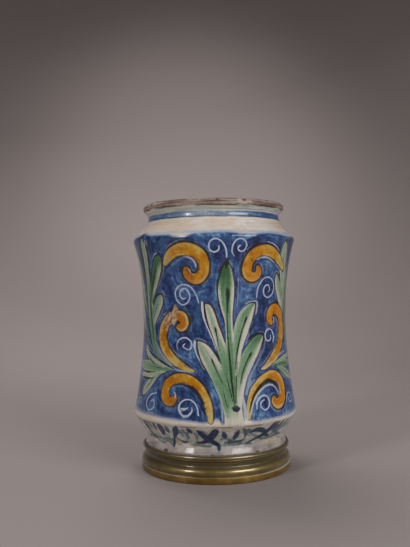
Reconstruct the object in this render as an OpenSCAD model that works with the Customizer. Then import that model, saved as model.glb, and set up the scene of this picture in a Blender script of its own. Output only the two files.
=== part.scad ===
// Waisted drug jar (albarello) of tin-glazed earthenware, standing in a
// turned brass foot mount. Millimetres, +Z up, origin on the floor at the
// middle of the base.

/* [Jar] */
// Height of the top of the lip above the floor
jar_top = 218; // [214:0.5:222]
// Height of the jar's own foot above the floor, inside the mount
jar_foot_z = 10.8; // [10.4:0.1:11.5]
// Radius at the waist of the body
waist_r = 60.1; // [59:0.1:61.5]
// Height of the waist
waist_z = 117; // [110:1:124]
// Radius at the upper shoulder edge
shoulder_r = 67.9; // [66.5:0.1:69]
// Height of the upper shoulder edge
shoulder_z = 187; // [184:0.5:189]
// Radius at the lower shoulder edge
heel_r = 68; // [66.5:0.1:69]
// Height of the lower shoulder edge
heel_z = 46.6; // [45:0.2:49]
// How late the body flares above the waist, as an exponent
flare_up = 2.75; // [2:0.05:3.2]
// How late the body flares below the waist, as an exponent
flare_down = 1.55; // [1.3:0.05:2.2]
// Thickness of the thrown wall
wall = 6.5; // [5.5:0.1:7.5]

/* [Neck and lip] */
// Outer radius at the bottom of the neck groove
neck_r = 55.3; // [54.5:0.1:56]
// Height of the neck groove
neck_z = 206.9; // [205.5:0.1:208]
// Outer radius of the rolled lip
lip_r = 59.4; // [58.5:0.1:60]
// Radius of the mouth
mouth_r = 49.5; // [48:0.1:50.5]
// Length of the straight part of the mouth
mouth_len = 9; // [7:0.5:10]

/* [Jar foot] */
// Radius of the groove above the foot
ankle_r = 57.2; // [56.5:0.1:58]
// Height of that groove
ankle_z = 28.2; // [27.5:0.1:29]
// Largest radius of the foot, just inside the collar
foot_r = 59.2; // [58.6:0.1:59.25]
// Radius of the standing ring of the foot
foot_ring_r = 54.6; // [53.5:0.1:55]
// Depth of the hollow under the foot
foot_hollow = 2; // [1:0.1:3]
// Thickness of the jar's floor
jar_floor = 7.7; // [6.5:0.1:9]

/* [Brass mount] */
// Radius of the plinth ring
plinth_r = 62.2; // [61.5:0.1:63]
// Height of the plinth ring's top edge
plinth_h = 5.4; // [5.2:0.1:5.8]
// Smallest radius of the hollow above the moulding
hollow_r = 58.6; // [58.4:0.1:59]
// Height of that hollow
hollow_z = 13.2; // [12.8:0.1:13.6]
// Height of the seam between moulding and collar
seam_z = 16.6; // [16.2:0.1:16.9]
// Radius of the collar's bead
collar_r = 61.3; // [60.9:0.1:61.8]
// Height of the collar's lip
collar_z = 20.9; // [20.7:0.1:21.2]
// Clear gap round the jar's foot
foot_gap = 0.4; // [0.3:0.05:0.6]

/* [Inside the mount] */
// Thickness of the base plate
plate_t = 2; // [1.6:0.1:2.2]
// Number of base screws
screw_n = 4; // [3:1:6]
// Pitch radius of the base screws
screw_pcr = 53; // [52.5:0.1:53.5]
// Radius of a base screw's shank
screw_r = 1.75; // [1.5:0.05:2]
// Radius of a base screw's countersunk head
head_r = 3.4; // [3.2:0.1:3.6]
// Thickness of the felt disc
felt_t = 1.5; // [1.3:0.1:1.6]

/* [Hidden] */
$fn = 128;
e = 0.01;
glaze = [0.27, 0.36, 0.60];
brass = [0.52, 0.43, 0.22];
brass_bright = [0.62, 0.49, 0.20];
plaster = [0.84, 0.81, 0.74];
iron = [0.36, 0.34, 0.32];
baize = [0.13, 0.25, 0.18];

// n points along a cubic curve, without its last point
function curve(a, b, c, d, n) =
    [for (i = [0:n - 1]) let (t = i / n, s = 1 - t)
        s * s * s * a + 3 * s * s * t * b + 3 * s * t * t * c + t * t * t * d];

// radius of the body's outside between the two shoulder edges
function body_r(z) = z >= waist_z
    ? waist_r + (shoulder_r - waist_r) * pow((z - waist_z) / (shoulder_z - waist_z), flare_up)
    : waist_r + (heel_r - waist_r) * pow((waist_z - z) / (waist_z - heel_z), flare_down);

// outside of the jar, from the hollow under its foot up to the top of the lip
jar_outside = concat(
    [[0, jar_foot_z + foot_hollow], [foot_ring_r - 8.5, jar_foot_z + foot_hollow],
     [foot_ring_r - 7, jar_foot_z]],
    curve([foot_ring_r, jar_foot_z], [foot_ring_r + 2, jar_foot_z + 1.2],
          [foot_r - 1.6, collar_z - 4.6], [foot_r, collar_z - 0.6], 10),
    curve([foot_r, collar_z - 0.6], [foot_r + 0.35, collar_z + 1.5],
          [ankle_r + 0.05, ankle_z - 2.6], [ankle_r, ankle_z], 12),
    curve([ankle_r, ankle_z], [ankle_r, ankle_z + 1.4],
          [ankle_r + 1.2, ankle_z + 2.6], [ankle_r + 2.2, ankle_z + 3.8], 8),
    curve([ankle_r + 2.2, ankle_z + 3.8], [heel_r - 4, heel_z - 7.2],
          [heel_r + 0.1, heel_z - 2.6], [heel_r, heel_z], 16),
    [for (i = [0:39]) let (z = heel_z + (shoulder_z - heel_z) * i / 40) [body_r(z), z]],
    curve([shoulder_r, shoulder_z], [shoulder_r + 0.35, shoulder_z + 2.4],
          [shoulder_r - 2, shoulder_z + 4.2], [shoulder_r - 4.2, shoulder_z + 7], 12),
    curve([shoulder_r - 4.2, shoulder_z + 7], [shoulder_r - 9, shoulder_z + 12.6],
          [neck_r, neck_z - 4.4], [neck_r, neck_z], 16),
    curve([neck_r, neck_z], [neck_r, neck_z + 4.2],
          [lip_r, jar_top - 6.4], [lip_r, jar_top - 3], 14),
    curve([lip_r, jar_top - 3], [lip_r, jar_top - 1],
          [lip_r - 1.8, jar_top], [lip_r - 3.6, jar_top], 10)
);

// inside of the jar, from the top of the lip down to its floor
mouth_top = jar_top - 3.4;
mouth_low = mouth_top - mouth_len;
jar_in_floor = jar_foot_z + foot_hollow + jar_floor;
jar_inside = concat(
    curve([lip_r - 3.6, jar_top], [mouth_r + 2.6, jar_top],
          [mouth_r, jar_top - 1.2], [mouth_r, mouth_top], 10),
    [[mouth_r, mouth_top]],
    curve([mouth_r, mouth_low], [mouth_r, mouth_low - 9],
          [body_r(shoulder_z - 6) - wall, shoulder_z + 4], [body_r(shoulder_z - 10) - wall, shoulder_z - 10], 16),
    [for (i = [0:29]) let (z = shoulder_z - 10 - (shoulder_z - heel_z - 14) * i / 30) [body_r(z) - wall, z]],
    curve([body_r(heel_z + 4) - wall, heel_z + 4], [heel_r - wall, heel_z - 9],
          [ankle_r - wall, ankle_z + 8], [ankle_r - wall - 1.5, ankle_z], 14),
    curve([ankle_r - wall - 1.5, ankle_z], [ankle_r - wall - 2.6, jar_in_floor + 1.6],
          [ankle_r - wall - 7, jar_in_floor], [ankle_r - wall - 12, jar_in_floor], 10),
    [[ankle_r - wall - 12, jar_in_floor], [0, jar_in_floor]]
);

// thrown, tin-glazed and painted vessel, one fired piece
module jar() {
    color(glaze) rotate_extrude() polygon(concat(jar_outside, jar_inside));
}

// radii and heights shared by the rings inside the mount
ledge_z = plinth_h + 3;          // top of the moulding ring's ledge
inner_r = hollow_r - 1.7;        // bore of the moulding ring
skirt_r = inner_r + 1.3;         // seat of the collar's skirt
skirt_z = seam_z - 2;
plate_r = plinth_r - 5.2;
flange_z = plinth_h - plate_t;   // top of the plinth ring's flange

// set plaster under the jar's foot, which evens out the hand-thrown ring
module bedding_ring() {
    color(plaster) rotate_extrude() polygon([
        [foot_ring_r - 9, ledge_z], [inner_r - 0.1, ledge_z],
        [inner_r - 0.1, jar_foot_z - 0.4], [foot_ring_r + 0.6, jar_foot_z],
        [foot_ring_r - 7.4, jar_foot_z]]);
}

// beaded brass collar round the jar's foot, with a skirt that drops into
// the moulding ring
module collar_ring() {
    color(brass) rotate_extrude() polygon(concat(
        [[inner_r + 0.2, skirt_z], [skirt_r - 0.05, skirt_z], [skirt_r - 0.05, seam_z]],
        curve([hollow_r + 1.05, seam_z], [hollow_r + 1.3, seam_z + 0.2],
              [hollow_r + 1.55, seam_z + 0.5], [hollow_r + 1.6, seam_z + 0.9], 5),
        [[hollow_r + 1.6, seam_z + 0.9], [hollow_r + 1.35, seam_z + 1.15], [hollow_r + 1.4, seam_z + 1.35]],
        curve([collar_r - 0.9, seam_z + 1.6], [collar_r + 0.05, seam_z + 1.75],
              [collar_r + 0.15, collar_z - 1.6], [collar_r - 0.35, collar_z - 0.7], 10),
        curve([collar_r - 0.35, collar_z - 0.7], [collar_r - 0.6, collar_z - 0.2],
              [collar_r - 0.9, collar_z], [collar_r - 1.2, collar_z], 5),
        [[collar_r - 1.2, collar_z], [foot_r + foot_gap, collar_z],
         [foot_r + foot_gap, collar_z - 1.2], [inner_r + 1.1, seam_z - 0.2]]));
}

// turned brass moulding: hollow above a rounded ogee, with a ledge inside
// that carries the jar
module moulding_ring() {
    color(brass) difference() {
        rotate_extrude() polygon(concat(
            [[inner_r - 8.5, plinth_h], [plinth_r - 0.5, plinth_h]],
            curve([plinth_r - 0.5, plinth_h + 0.5], [plinth_r + 0.15, plinth_h + 1.6],
                  [plinth_r + 0.15, plinth_h + 4], [plinth_r - 1.1, plinth_h + 5.4], 12),
            curve([plinth_r - 1.1, plinth_h + 5.4], [plinth_r - 2, plinth_h + 6.4],
                  [hollow_r, hollow_z - 1.5], [hollow_r, hollow_z], 10),
            curve([hollow_r, hollow_z], [hollow_r, hollow_z + 1.3],
                  [hollow_r + 0.5, seam_z - 0.7], [hollow_r + 1.05, seam_z], 8),
            [[hollow_r + 1.05, seam_z], [skirt_r, seam_z], [skirt_r, skirt_z],
             [inner_r, skirt_z], [inner_r, ledge_z], [inner_r - 8.5, ledge_z]]));
        screw_places() translate([0, 0, plinth_h - e]) cylinder(r = screw_r, h = 2.3 + e, $fn = 32);
    }
}

// plain brass plinth ring, with a flange inside that carries the plate
module plinth_ring() {
    color(brass_bright) difference() {
        rotate_extrude() polygon([
            [46, felt_t], [plinth_r - 3.7, felt_t], [plinth_r - 3.7, 0.3],
            [plinth_r - 0.6, 0.3], [plinth_r, 0.9], [plinth_r, plinth_h - 0.45],
            [plinth_r - 0.4, plinth_h], [plate_r + 0.3, plinth_h], [plate_r + 0.3, flange_z],
            [46, flange_z]]);
        screw_places() {
            translate([0, 0, felt_t - e]) cylinder(r = screw_r + 0.15, h = 4, $fn = 32);
            translate([0, 0, felt_t - e]) cylinder(r1 = head_r + 0.1, r2 = screw_r + 0.1, h = 1.7, $fn = 32);
        }
    }
}

// sheet-iron disc that closes the mount, clamped between plinth and moulding
module base_plate() {
    color(iron) difference() {
        translate([0, 0, flange_z]) cylinder(r = plate_r, h = plate_t);
        screw_places() translate([0, 0, flange_z - 1]) cylinder(r = screw_r + 0.15, h = plate_t + 2, $fn = 32);
    }
}

// repeats its children at each screw's place
module screw_places() {
    for (i = [0:screw_n - 1]) rotate(45 + i * 360 / screw_n) translate([screw_pcr, 0, 0]) children();
}

// countersunk slotted screws, up through plinth and plate into the moulding
module base_screws() {
    color(brass) screw_places() difference() {
        union() {
            translate([0, 0, felt_t]) cylinder(r1 = head_r, r2 = screw_r, h = 1.6, $fn = 32);
            translate([0, 0, felt_t + 1.5]) cylinder(r = screw_r - 0.03, h = plinth_h + 2 - felt_t - 1.5, $fn = 32);
        }
        translate([-5, -0.4, felt_t - 1]) cube([10, 0.8, 1.8]);
    }
}

// green baize disc glued under the mount
module felt_pad() {
    color(baize) cylinder(r = plinth_r - 4, h = felt_t);
}

jar();
bedding_ring();
collar_ring();
moulding_ring();
plinth_ring();
base_plate();
base_screws();
felt_pad();
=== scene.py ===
import math

import bpy
import numpy as np
from mathutils import Matrix, Vector


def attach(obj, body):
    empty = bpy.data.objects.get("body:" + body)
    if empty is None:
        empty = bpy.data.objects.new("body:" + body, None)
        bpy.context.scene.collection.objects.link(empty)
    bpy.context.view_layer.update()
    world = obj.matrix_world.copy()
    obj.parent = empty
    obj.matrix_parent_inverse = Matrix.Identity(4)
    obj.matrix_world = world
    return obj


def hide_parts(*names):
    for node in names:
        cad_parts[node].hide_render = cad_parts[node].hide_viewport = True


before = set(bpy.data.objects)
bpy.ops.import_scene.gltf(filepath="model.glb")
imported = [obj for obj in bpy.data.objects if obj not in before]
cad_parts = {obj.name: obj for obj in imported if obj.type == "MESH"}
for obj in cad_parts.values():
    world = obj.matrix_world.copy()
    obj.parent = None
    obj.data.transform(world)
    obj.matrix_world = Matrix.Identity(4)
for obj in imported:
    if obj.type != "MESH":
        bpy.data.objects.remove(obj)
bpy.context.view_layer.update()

rng = np.random.default_rng(7)
scene = bpy.context.scene

# ---------------------------------------------------------------- camera
# at the photograph's height and distance, tilted up a little, with its small roll
CAM_D, CAM_Z = 0.5636, 0.1506
pitch, roll, yaw = math.radians(1.03), math.radians(0.66), math.radians(-0.77)
fwd = Vector((math.sin(yaw) * math.cos(pitch), math.cos(yaw) * math.cos(pitch), math.sin(pitch)))
rgt = Vector((math.cos(yaw), -math.sin(yaw), 0.0))
upw = rgt.cross(fwd)
cr, sr = math.cos(roll), math.sin(roll)
rgt2, upw2 = rgt * cr - upw * sr, upw * cr + rgt * sr
cam_data = bpy.data.cameras.new("camera")
cam_data.sensor_width = 36.0
cam_data.lens = 663.0 / 547.0 * 36.0
cam_data.clip_start, cam_data.clip_end = 0.01, 50.0
cam = bpy.data.objects.new("camera", cam_data)
scene.collection.objects.link(cam)
rot = Matrix((rgt2, upw2, -fwd)).transposed()
cam.matrix_world = Matrix.Translation((0.0, -CAM_D, CAM_Z)) @ rot.to_4x4()
scene.camera = cam
scene.view_settings.view_transform = "Standard"
scene.view_settings.look = "None"


# ---------------------------------------------------------------- node graphs
class Graph:
    """Small helper that builds a material's nodes."""

    def __init__(self, name):
        self.mat = bpy.data.materials.new(name)
        self.mat.use_nodes = True
        self.t = self.mat.node_tree
        self.t.nodes.clear()
        self.out = self.t.nodes.new("ShaderNodeOutputMaterial")
        self.bsdf = self.t.nodes.new("ShaderNodeBsdfPrincipled")
        self.t.links.new(self.bsdf.outputs[0], self.out.inputs[0])
        self._pos = None

    def put(self, sock, v):
        if isinstance(v, bpy.types.NodeSocket):
            self.t.links.new(v, sock)
        elif isinstance(v, (tuple, list)) and len(v) == 3 and sock.type == "RGBA":
            sock.default_value = (*v, 1.0)
        else:
            sock.default_value = v

    def set(self, name, v):
        self.put(self.bsdf.inputs[name], v)

    def pos(self):
        if self._pos is None:
            self._pos = self.t.nodes.new("ShaderNodeTexCoord").outputs["Object"]
        return self._pos

    def m(self, op, a, b=None, c=None, clamp=False):
        n = self.t.nodes.new("ShaderNodeMath")
        n.operation, n.use_clamp = op, clamp
        for s, v in zip(n.inputs, (a, b, c)):
            if v is not None:
                self.put(s, v)
        return n.outputs[0]

    def add(self, *vs):
        r = vs[0]
        for v in vs[1:]:
            r = self.m("ADD", r, v)
        return r

    def mul(self, *vs):
        r = vs[0]
        for v in vs[1:]:
            r = self.m("MULTIPLY", r, v)
        return r

    def sub(self, a, b):
        return self.m("SUBTRACT", a, b)

    def inv(self, a):
        return self.m("SUBTRACT", 1.0, a)

    def map(self, v, lo, hi, a=0.0, b=1.0, smooth=True):
        n = self.t.nodes.new("ShaderNodeMapRange")
        n.interpolation_type = "SMOOTHSTEP" if smooth else "LINEAR"
        n.clamp = True
        for s, x in zip(n.inputs, (v, lo, hi, a, b)):
            self.put(s, x)
        return n.outputs[0]

    def band(self, v, lo, hi, soft):
        """1 between lo and hi, with soft edges."""
        return self.mul(self.map(v, lo - soft, lo + soft), self.map(v, hi - soft, hi + soft, 1.0, 0.0))

    def mix(self, f, a, b, mode="MIX"):
        n = self.t.nodes.new("ShaderNodeMix")
        n.data_type, n.blend_type, n.clamp_factor = "RGBA", mode, True
        self.put(n.inputs[0], f)
        self.put(n.inputs[6], a)
        self.put(n.inputs[7], b)
        return n.outputs[2]

    def vec(self, op, a, b=None, scale=None):
        n = self.t.nodes.new("ShaderNodeVectorMath")
        n.operation = op
        self.put(n.inputs[0], a)
        if b is not None:
            self.put(n.inputs[1], b)
        if scale is not None:
            self.put(n.inputs["Scale"], scale)
        return n.outputs[0]

    def xyz(self, v):
        n = self.t.nodes.new("ShaderNodeSeparateXYZ")
        self.put(n.inputs[0], v)
        return n.outputs[0], n.outputs[1], n.outputs[2]

    def comb(self, x, y, z):
        n = self.t.nodes.new("ShaderNodeCombineXYZ")
        for s, v in zip(n.inputs, (x, y, z)):
            self.put(s, v)
        return n.outputs[0]

    def noise(self, vec, scale, detail=2.0, rough=0.5, w=None, distort=0.0):
        n = self.t.nodes.new("ShaderNodeTexNoise")
        n.noise_dimensions = "4D" if w is not None else "3D"
        self.put(n.inputs["Vector"], vec)
        if w is not None:
            self.put(n.inputs["W"], w)
        self.put(n.inputs["Scale"], scale)
        self.put(n.inputs["Detail"], detail)
        self.put(n.inputs["Roughness"], rough)
        self.put(n.inputs["Distortion"], distort)
        return n.outputs[0]

    def voronoi(self, vec, scale, feature="DISTANCE_TO_EDGE", rand=1.0):
        n = self.t.nodes.new("ShaderNodeTexVoronoi")
        n.feature = feature
        self.put(n.inputs["Vector"], vec)
        self.put(n.inputs["Scale"], scale)
        self.put(n.inputs["Randomness"], rand)
        return n.outputs[0]

    def ramp(self, f, stops):
        n = self.t.nodes.new("ShaderNodeValToRGB")
        e = n.color_ramp.elements
        while len(e) < len(stops):
            e.new(0.5)
        for el, (p, c) in zip(e, stops):
            el.position, el.color = p, (*c, 1.0)
        self.put(n.inputs[0], f)
        return n.outputs[0]

    def attr(self, name):
        n = self.t.nodes.new("ShaderNodeAttribute")
        n.attribute_type, n.attribute_name = "GEOMETRY", name
        return n

    def bump(self, height, dist, strength=1.0, normal=None):
        n = self.t.nodes.new("ShaderNodeBump")
        self.put(n.inputs["Height"], height)
        self.put(n.inputs["Distance"], dist)
        self.put(n.inputs["Strength"], strength)
        if normal is not None:
            self.put(n.inputs["Normal"], normal)
        return n.outputs[0]


# ---------------------------------------------------------------- profiles (mm)
WAIST_R, WAIST_Z, SH_R, SH_Z, HEEL_R, HEEL_Z = 60.1, 117.0, 67.9, 187.0, 68.0, 46.6
UP, DOWN, WALL = 2.75, 1.55, 6.5
NECK_R, NECK_Z, LIP_R, TOP, MOUTH_R, MOUTH_LEN = 55.3, 206.9, 59.4, 218.0, 49.5, 9.0
ANK_R, ANK_Z, FOOT_R, RING_R, FOOT_Z, HOLLOW, FLOOR_T = 57.2, 28.2, 59.2, 54.6, 10.8, 2.0, 7.7
PL_R, PL_H, HO_R, HO_Z, SEAM_Z, CO_R, CO_Z, FELT_T = 62.2, 5.4, 58.6, 13.2, 16.6, 61.3, 20.9, 1.5


def body_r(z):
    z = np.asarray(z, float)
    u = WAIST_R + (SH_R - WAIST_R) * np.clip((z - WAIST_Z) / (SH_Z - WAIST_Z), 0, None) ** UP
    d = WAIST_R + (HEEL_R - WAIST_R) * np.clip((WAIST_Z - z) / (WAIST_Z - HEEL_Z), 0, None) ** DOWN
    return np.where(z >= WAIST_Z, u, d)


def curve(a, b, c, d, n):
    t = (np.arange(n) / n)[:, None]
    s = 1 - t
    a, b, c, d = (np.array(p, float) for p in (a, b, c, d))
    return s ** 3 * a + 3 * s * s * t * b + 3 * s * t * t * c + t ** 3 * d


def resample(p, step):
    """Points along a polyline at about the given spacing, ends kept."""
    seg = np.hypot(*np.diff(p, axis=0).T)
    at = np.concatenate([[0], np.cumsum(seg)])
    n = max(2, int(round(at[-1] / step)) + 1)
    u = np.linspace(0, at[-1], n)
    return np.stack([np.interp(u, at, p[:, 0]), np.interp(u, at, p[:, 1])], -1)


zb = HEEL_Z + (SH_Z - HEEL_Z) * np.arange(200) / 200
out_foot = np.vstack([
    curve([RING_R, FOOT_Z], [RING_R + 2, FOOT_Z + 1.2], [FOOT_R - 1.6, CO_Z - 4.6], [FOOT_R, CO_Z - 0.6], 20),
    [[FOOT_R, CO_Z - 0.6]]])
out_low = np.vstack([
    curve([FOOT_R, CO_Z - 0.6], [FOOT_R + 0.35, CO_Z + 1.5], [ANK_R + 0.05, ANK_Z - 2.6], [ANK_R, ANK_Z], 30),
    curve([ANK_R, ANK_Z], [ANK_R, ANK_Z + 1.4], [ANK_R + 1.2, ANK_Z + 2.6], [ANK_R + 2.2, ANK_Z + 3.8], 20),
    curve([ANK_R + 2.2, ANK_Z + 3.8], [HEEL_R - 4, HEEL_Z - 7.2], [HEEL_R + 0.1, HEEL_Z - 2.6], [HEEL_R, HEEL_Z], 40),
    [[HEEL_R, HEEL_Z]]])
out_body = np.vstack([np.stack([body_r(zb), zb], -1), [[SH_R, SH_Z]]])
out_top = np.vstack([
    curve([SH_R, SH_Z], [SH_R + 0.35, SH_Z + 2.4], [SH_R - 2, SH_Z + 4.2], [SH_R - 4.2, SH_Z + 7], 30),
    curve([SH_R - 4.2, SH_Z + 7], [SH_R - 9, SH_Z + 12.6], [NECK_R, NECK_Z - 4.4], [NECK_R, NECK_Z], 40),
    curve([NECK_R, NECK_Z], [NECK_R, NECK_Z + 4.2], [LIP_R, TOP - 6.4], [LIP_R, TOP - 3], 40),
    curve([LIP_R, TOP - 3], [LIP_R, TOP - 1], [LIP_R - 1.8, TOP], [LIP_R - 3.6, TOP], 20),
    [[LIP_R - 3.6, TOP]]])
mouth_top, mouth_low = TOP - 3.4, TOP - 3.4 - MOUTH_LEN
in_floor = FOOT_Z + HOLLOW + FLOOR_T
zi = SH_Z - 10 - (SH_Z - HEEL_Z - 14) * np.arange(80) / 80
in_lip = np.vstack([
    curve([LIP_R - 3.6, TOP], [MOUTH_R + 2.6, TOP], [MOUTH_R, TOP - 1.2], [MOUTH_R, mouth_top], 20),
    [[MOUTH_R, mouth_top], [MOUTH_R, mouth_low + 4]]])
in_wall = np.vstack([
    [[MOUTH_R, mouth_low + 4]],
    curve([MOUTH_R, mouth_low], [MOUTH_R, mouth_low - 9], [body_r(SH_Z - 6) - WALL, SH_Z + 4],
          [body_r(SH_Z - 10) - WALL, SH_Z - 10], 40),
    np.stack([body_r(zi) - WALL, zi], -1),
    curve([body_r(HEEL_Z + 4) - WALL, HEEL_Z + 4], [HEEL_R - WALL, HEEL_Z - 9],
          [ANK_R - WALL, ANK_Z + 8], [ANK_R - WALL - 1.5, ANK_Z], 40),
    curve([ANK_R - WALL - 1.5, ANK_Z], [ANK_R - WALL - 2.6, in_floor + 1.6],
          [ANK_R - WALL - 7, in_floor], [ANK_R - WALL - 12, in_floor], 20),
    [[ANK_R - WALL - 12, in_floor], [1.2, in_floor]]])
under = np.array([[RING_R, FOOT_Z], [RING_R - 3.5, FOOT_Z], [RING_R - 7, FOOT_Z], [RING_R - 8.5, FOOT_Z + HOLLOW],
                  [30, FOOT_Z + HOLLOW], [1.2, FOOT_Z + HOLLOW]])


# ---------------------------------------------------------------- lathe meshes
def lathe(name, sections, thetas, coarse, shift=None):
    """Closed mesh turned about Z. sections is a list of (points R,z in mm, fine) in order; coarse sections
    use every coarse-th column. Both ends close at the axis. Returns the object and, for each vertex,
    theta in degrees, R, z and the section's number."""
    verts, faces, info, rows = [], [], [], []
    nth = len(thetas)
    cols = {True: np.arange(nth), False: np.arange(0, nth, coarse)}
    for k, (pts, fine) in enumerate(sections):
        for r, z in pts:
            c = cols[fine]
            rows.append((len(verts), fine))
            for i in c:
                verts.append((r, thetas[i], z))
                info.append(k)
    for (a, fa), (b, fb) in zip(rows[:-1], rows[1:]):
        if fa == fb:
            n = len(cols[fa])
            faces += [(a + i, a + (i + 1) % n, b + (i + 1) % n, b + i) for i in range(n)]
        elif fa and not fb:
            n = len(cols[False])
            faces += [tuple(a + (i * coarse + j) % nth for j in range(coarse + 1)) + (b + (i + 1) % n, b + i)
                      for i in range(n)]
        else:
            n = len(cols[False])
            faces += [(a + i, a + (i + 1) % n) + tuple(b + (i * coarse + j) % nth for j in range(coarse, -1, -1))
                      for i in range(n)]
    first, last = rows[0], rows[-1]
    n0, n1 = len(cols[first[1]]), len(cols[last[1]])
    verts.append((0.0, 0.0, verts[first[0]][2])); info.append(0)
    c0 = len(verts) - 1
    verts.append((0.0, 0.0, verts[last[0]][2])); info.append(len(sections) - 1)
    c1 = len(verts) - 1
    faces += [(c0, first[0] + (i + 1) % n0, first[0] + i) for i in range(n0)]
    faces += [(c1, last[0] + i, last[0] + (i + 1) % n1) for i in range(n1)]
    v = np.array(verts, float)
    if shift is not None:
        v = shift(v, np.array(info))
    th = np.radians(v[:, 1])
    xyz = np.stack([v[:, 0] * np.sin(th), -v[:, 0] * np.cos(th), v[:, 2]], -1) * 0.001
    mesh = bpy.data.meshes.new(name)
    mesh.from_pydata(xyz.tolist(), [], faces)
    mesh.validate()
    mesh.polygons.foreach_set("use_smooth", [True] * len(mesh.polygons))
    mesh.update()
    obj = bpy.data.objects.new(name, mesh)
    scene.collection.objects.link(obj)
    return obj, v, np.array(info)


def ring(name, outline, n=240, wob=0.0, seed=1):
    """Closed ring turned from an outline of R,z points in mm, given anticlockwise."""
    p = np.array(outline, float)
    k = len(p)
    th = np.linspace(0, 2 * math.pi, n, endpoint=False)
    r = np.repeat(p[None, :, 0], n, 0)
    z = np.repeat(p[None, :, 1], n, 0)
    if wob:
        g = np.random.default_rng(seed)
        w = sum(g.uniform(0.3, 1.0) * np.cos(f * th + g.uniform(0, 6.28)) / f for f in (2, 3, 5, 7))
        r = r - wob * (1 + np.tanh(w))[:, None] * 0.5
    x, y = r * np.sin(th)[:, None], -r * np.cos(th)[:, None]
    xyz = np.stack([x, y, z], -1).reshape(-1, 3) * 0.001
    faces = []
    for i in range(n):
        a, b = i * k, ((i + 1) % n) * k
        faces += [(a + j, b + j, b + (j + 1) % k, a + (j + 1) % k) for j in range(k)]
    mesh = bpy.data.meshes.new(name)
    mesh.from_pydata(xyz.tolist(), [], faces)
    mesh.validate()
    mesh.polygons.foreach_set("use_smooth", [True] * len(mesh.polygons))
    mesh.update()
    obj = bpy.data.objects.new(name, mesh)
    scene.collection.objects.link(obj)
    return obj


# columns: closer together over the front, where the brushwork is finest seen
front = np.arange(-104, 104.01, 0.80)
rest = np.linspace(104.0, 256.0, 124)[1:-1]
thetas = np.concatenate([front, rest])
thetas = thetas[: len(thetas) // 4 * 4]
thetas = np.where(thetas > 180, thetas - 360, thetas)

sec_foot = resample(out_foot, 2.4)
sec_low = resample(out_low, 0.9)[1:]
sec_body = resample(out_body, 0.97)[1:]
sec_top = resample(out_top, 0.95)[1:]
sec_lip = resample(in_lip, 1.4)[1:]
sec_wall = resample(in_wall, 2.1)[1:]

LIP_CHIPS = [(-58, 216.6, 3.0, 0.7), (-41, 217.8, 2.6, 0.6), (3, 216.2, 2.2, 0.45), (24, 216.4, 2.6, 0.5),
             (47, 217.8, 3.4, 0.7), (-15, 217.9, 2.0, 0.4), (98, 217.4, 3.2, 0.8), (150, 217.0, 2.4, 0.5),
             (-130, 217.6, 3.8, 0.8), (-168, 216.6, 2.4, 0.5), (-92, 217.7, 2.2, 0.5), (72, 217.9, 2.0, 0.4)]
FOOT_CHIPS = [(-42, 22.2, 3.0, 0.45), (-3, 21.8, 2.0, 0.45), (33, 22.0, 2.2, 0.3), (88, 22.2, 2.8, 0.45),
              (-110, 22.0, 2.6, 0.4), (165, 22.0, 3.0, 0.4), (-71, 21.8, 2.2, 0.35)]
chip_mask = None


def throw(v, sec):
    """Hand-thrown unevenness, ribs from the thrower's fingers, and chips. Only ever cuts into the true shape."""
    global chip_mask
    v = v.copy()
    th, r, z = np.radians(v[:, 1]), v[:, 0], v[:, 2]
    w = (0.55 * np.cos(2 * th + 0.7 + z * 0.006) + 0.30 * np.cos(3 * th + 1.9 - z * 0.012)
         + 0.22 * np.cos(5 * th + z * 0.021 + 4.0))
    rib = np.sin(2 * math.pi * (z / 6.1 + 0.25 * np.sin(z * 0.11) + v[:, 1] / 360.0))
    outside = (sec == 2) | (sec == 3) | (sec == 4)
    dr = -0.17 * (1 + w / 1.07) - 0.035 * (1 + rib)
    v[:, 0] = np.where(outside, r + dr, r)
    inside = sec >= 6
    rib2 = np.sin(2 * math.pi * (z / 9.5 + 0.3 * np.sin(z * 0.07) + v[:, 1] / 360.0))
    v[:, 0] = np.where(inside & (r > 3) & (z > 24) & (z < 203), v[:, 0] - 0.28 * (1 + rib2) + 0.25, v[:, 0])
    floor_rib = np.cos(v[:, 0] * 2 * math.pi / 11.0)
    v[:, 2] = np.where(inside & (z < in_floor + 0.05) & (r < 42), z + 0.22 * (1 + floor_rib) * (r > 2), v[:, 2])
    # the lip's top isn't quite level
    lev = 0.5 + 0.5 * np.cos(2 * th - 0.4) * 0.6 + 0.2 * np.cos(5 * th + 1.0)
    top = np.clip((z - 212.0) / 6.0, 0, 1)
    v[:, 2] = v[:, 2] - 0.28 * np.clip(lev, 0, 1.2) * top * ((sec == 4) | (sec == 5))
    mask = np.zeros(len(v))
    for (t, cz, rad, dep), lip in [(c, True) for c in LIP_CHIPS] + [(c, False) for c in FOOT_CHIPS]:
        dt = (v[:, 1] - t + 180) % 360 - 180
        rr = LIP_R - 1.0 if lip else FOOT_R
        dx = np.radians(dt) * rr
        ragged = 1 + 0.28 * np.sin(3.1 * dx + cz) + 0.2 * np.sin(2.3 * (z - cz) + t)
        d = np.sqrt(dx ** 2 + (1.5 * (z - cz)) ** 2 + (1.3 * (r - rr) * lip) ** 2) / (rad * ragged)
        ok = ((sec == 4) | (sec == 5)) & (z > 211) if lip else (sec == 2) & (z < 27)
        k = np.where(ok, np.clip(1 - d, 0, 1), 0)
        v[:, 0] -= dep * np.sqrt(k) * (k > 0)
        if lip:
            v[:, 2] -= 0.5 * dep * np.sqrt(k) * np.clip((z - 215) / 3, 0, 1)
        mask = np.maximum(mask, np.clip(k * 2.2, 0, 1))
    chip_mask = mask
    return v


jar, jv, jsec = lathe("jar_painted",
                      [(under[::-1], False), (sec_foot, False), (sec_low, True), (sec_body, True), (sec_top, True),
                       (sec_lip, True), (sec_wall, False)], thetas, 4, throw)
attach(jar, "root")
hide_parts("jar")
TH, RR, ZZ = jv[:, 1], jv[:, 0], jv[:, 2]
NV = len(jv)

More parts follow.
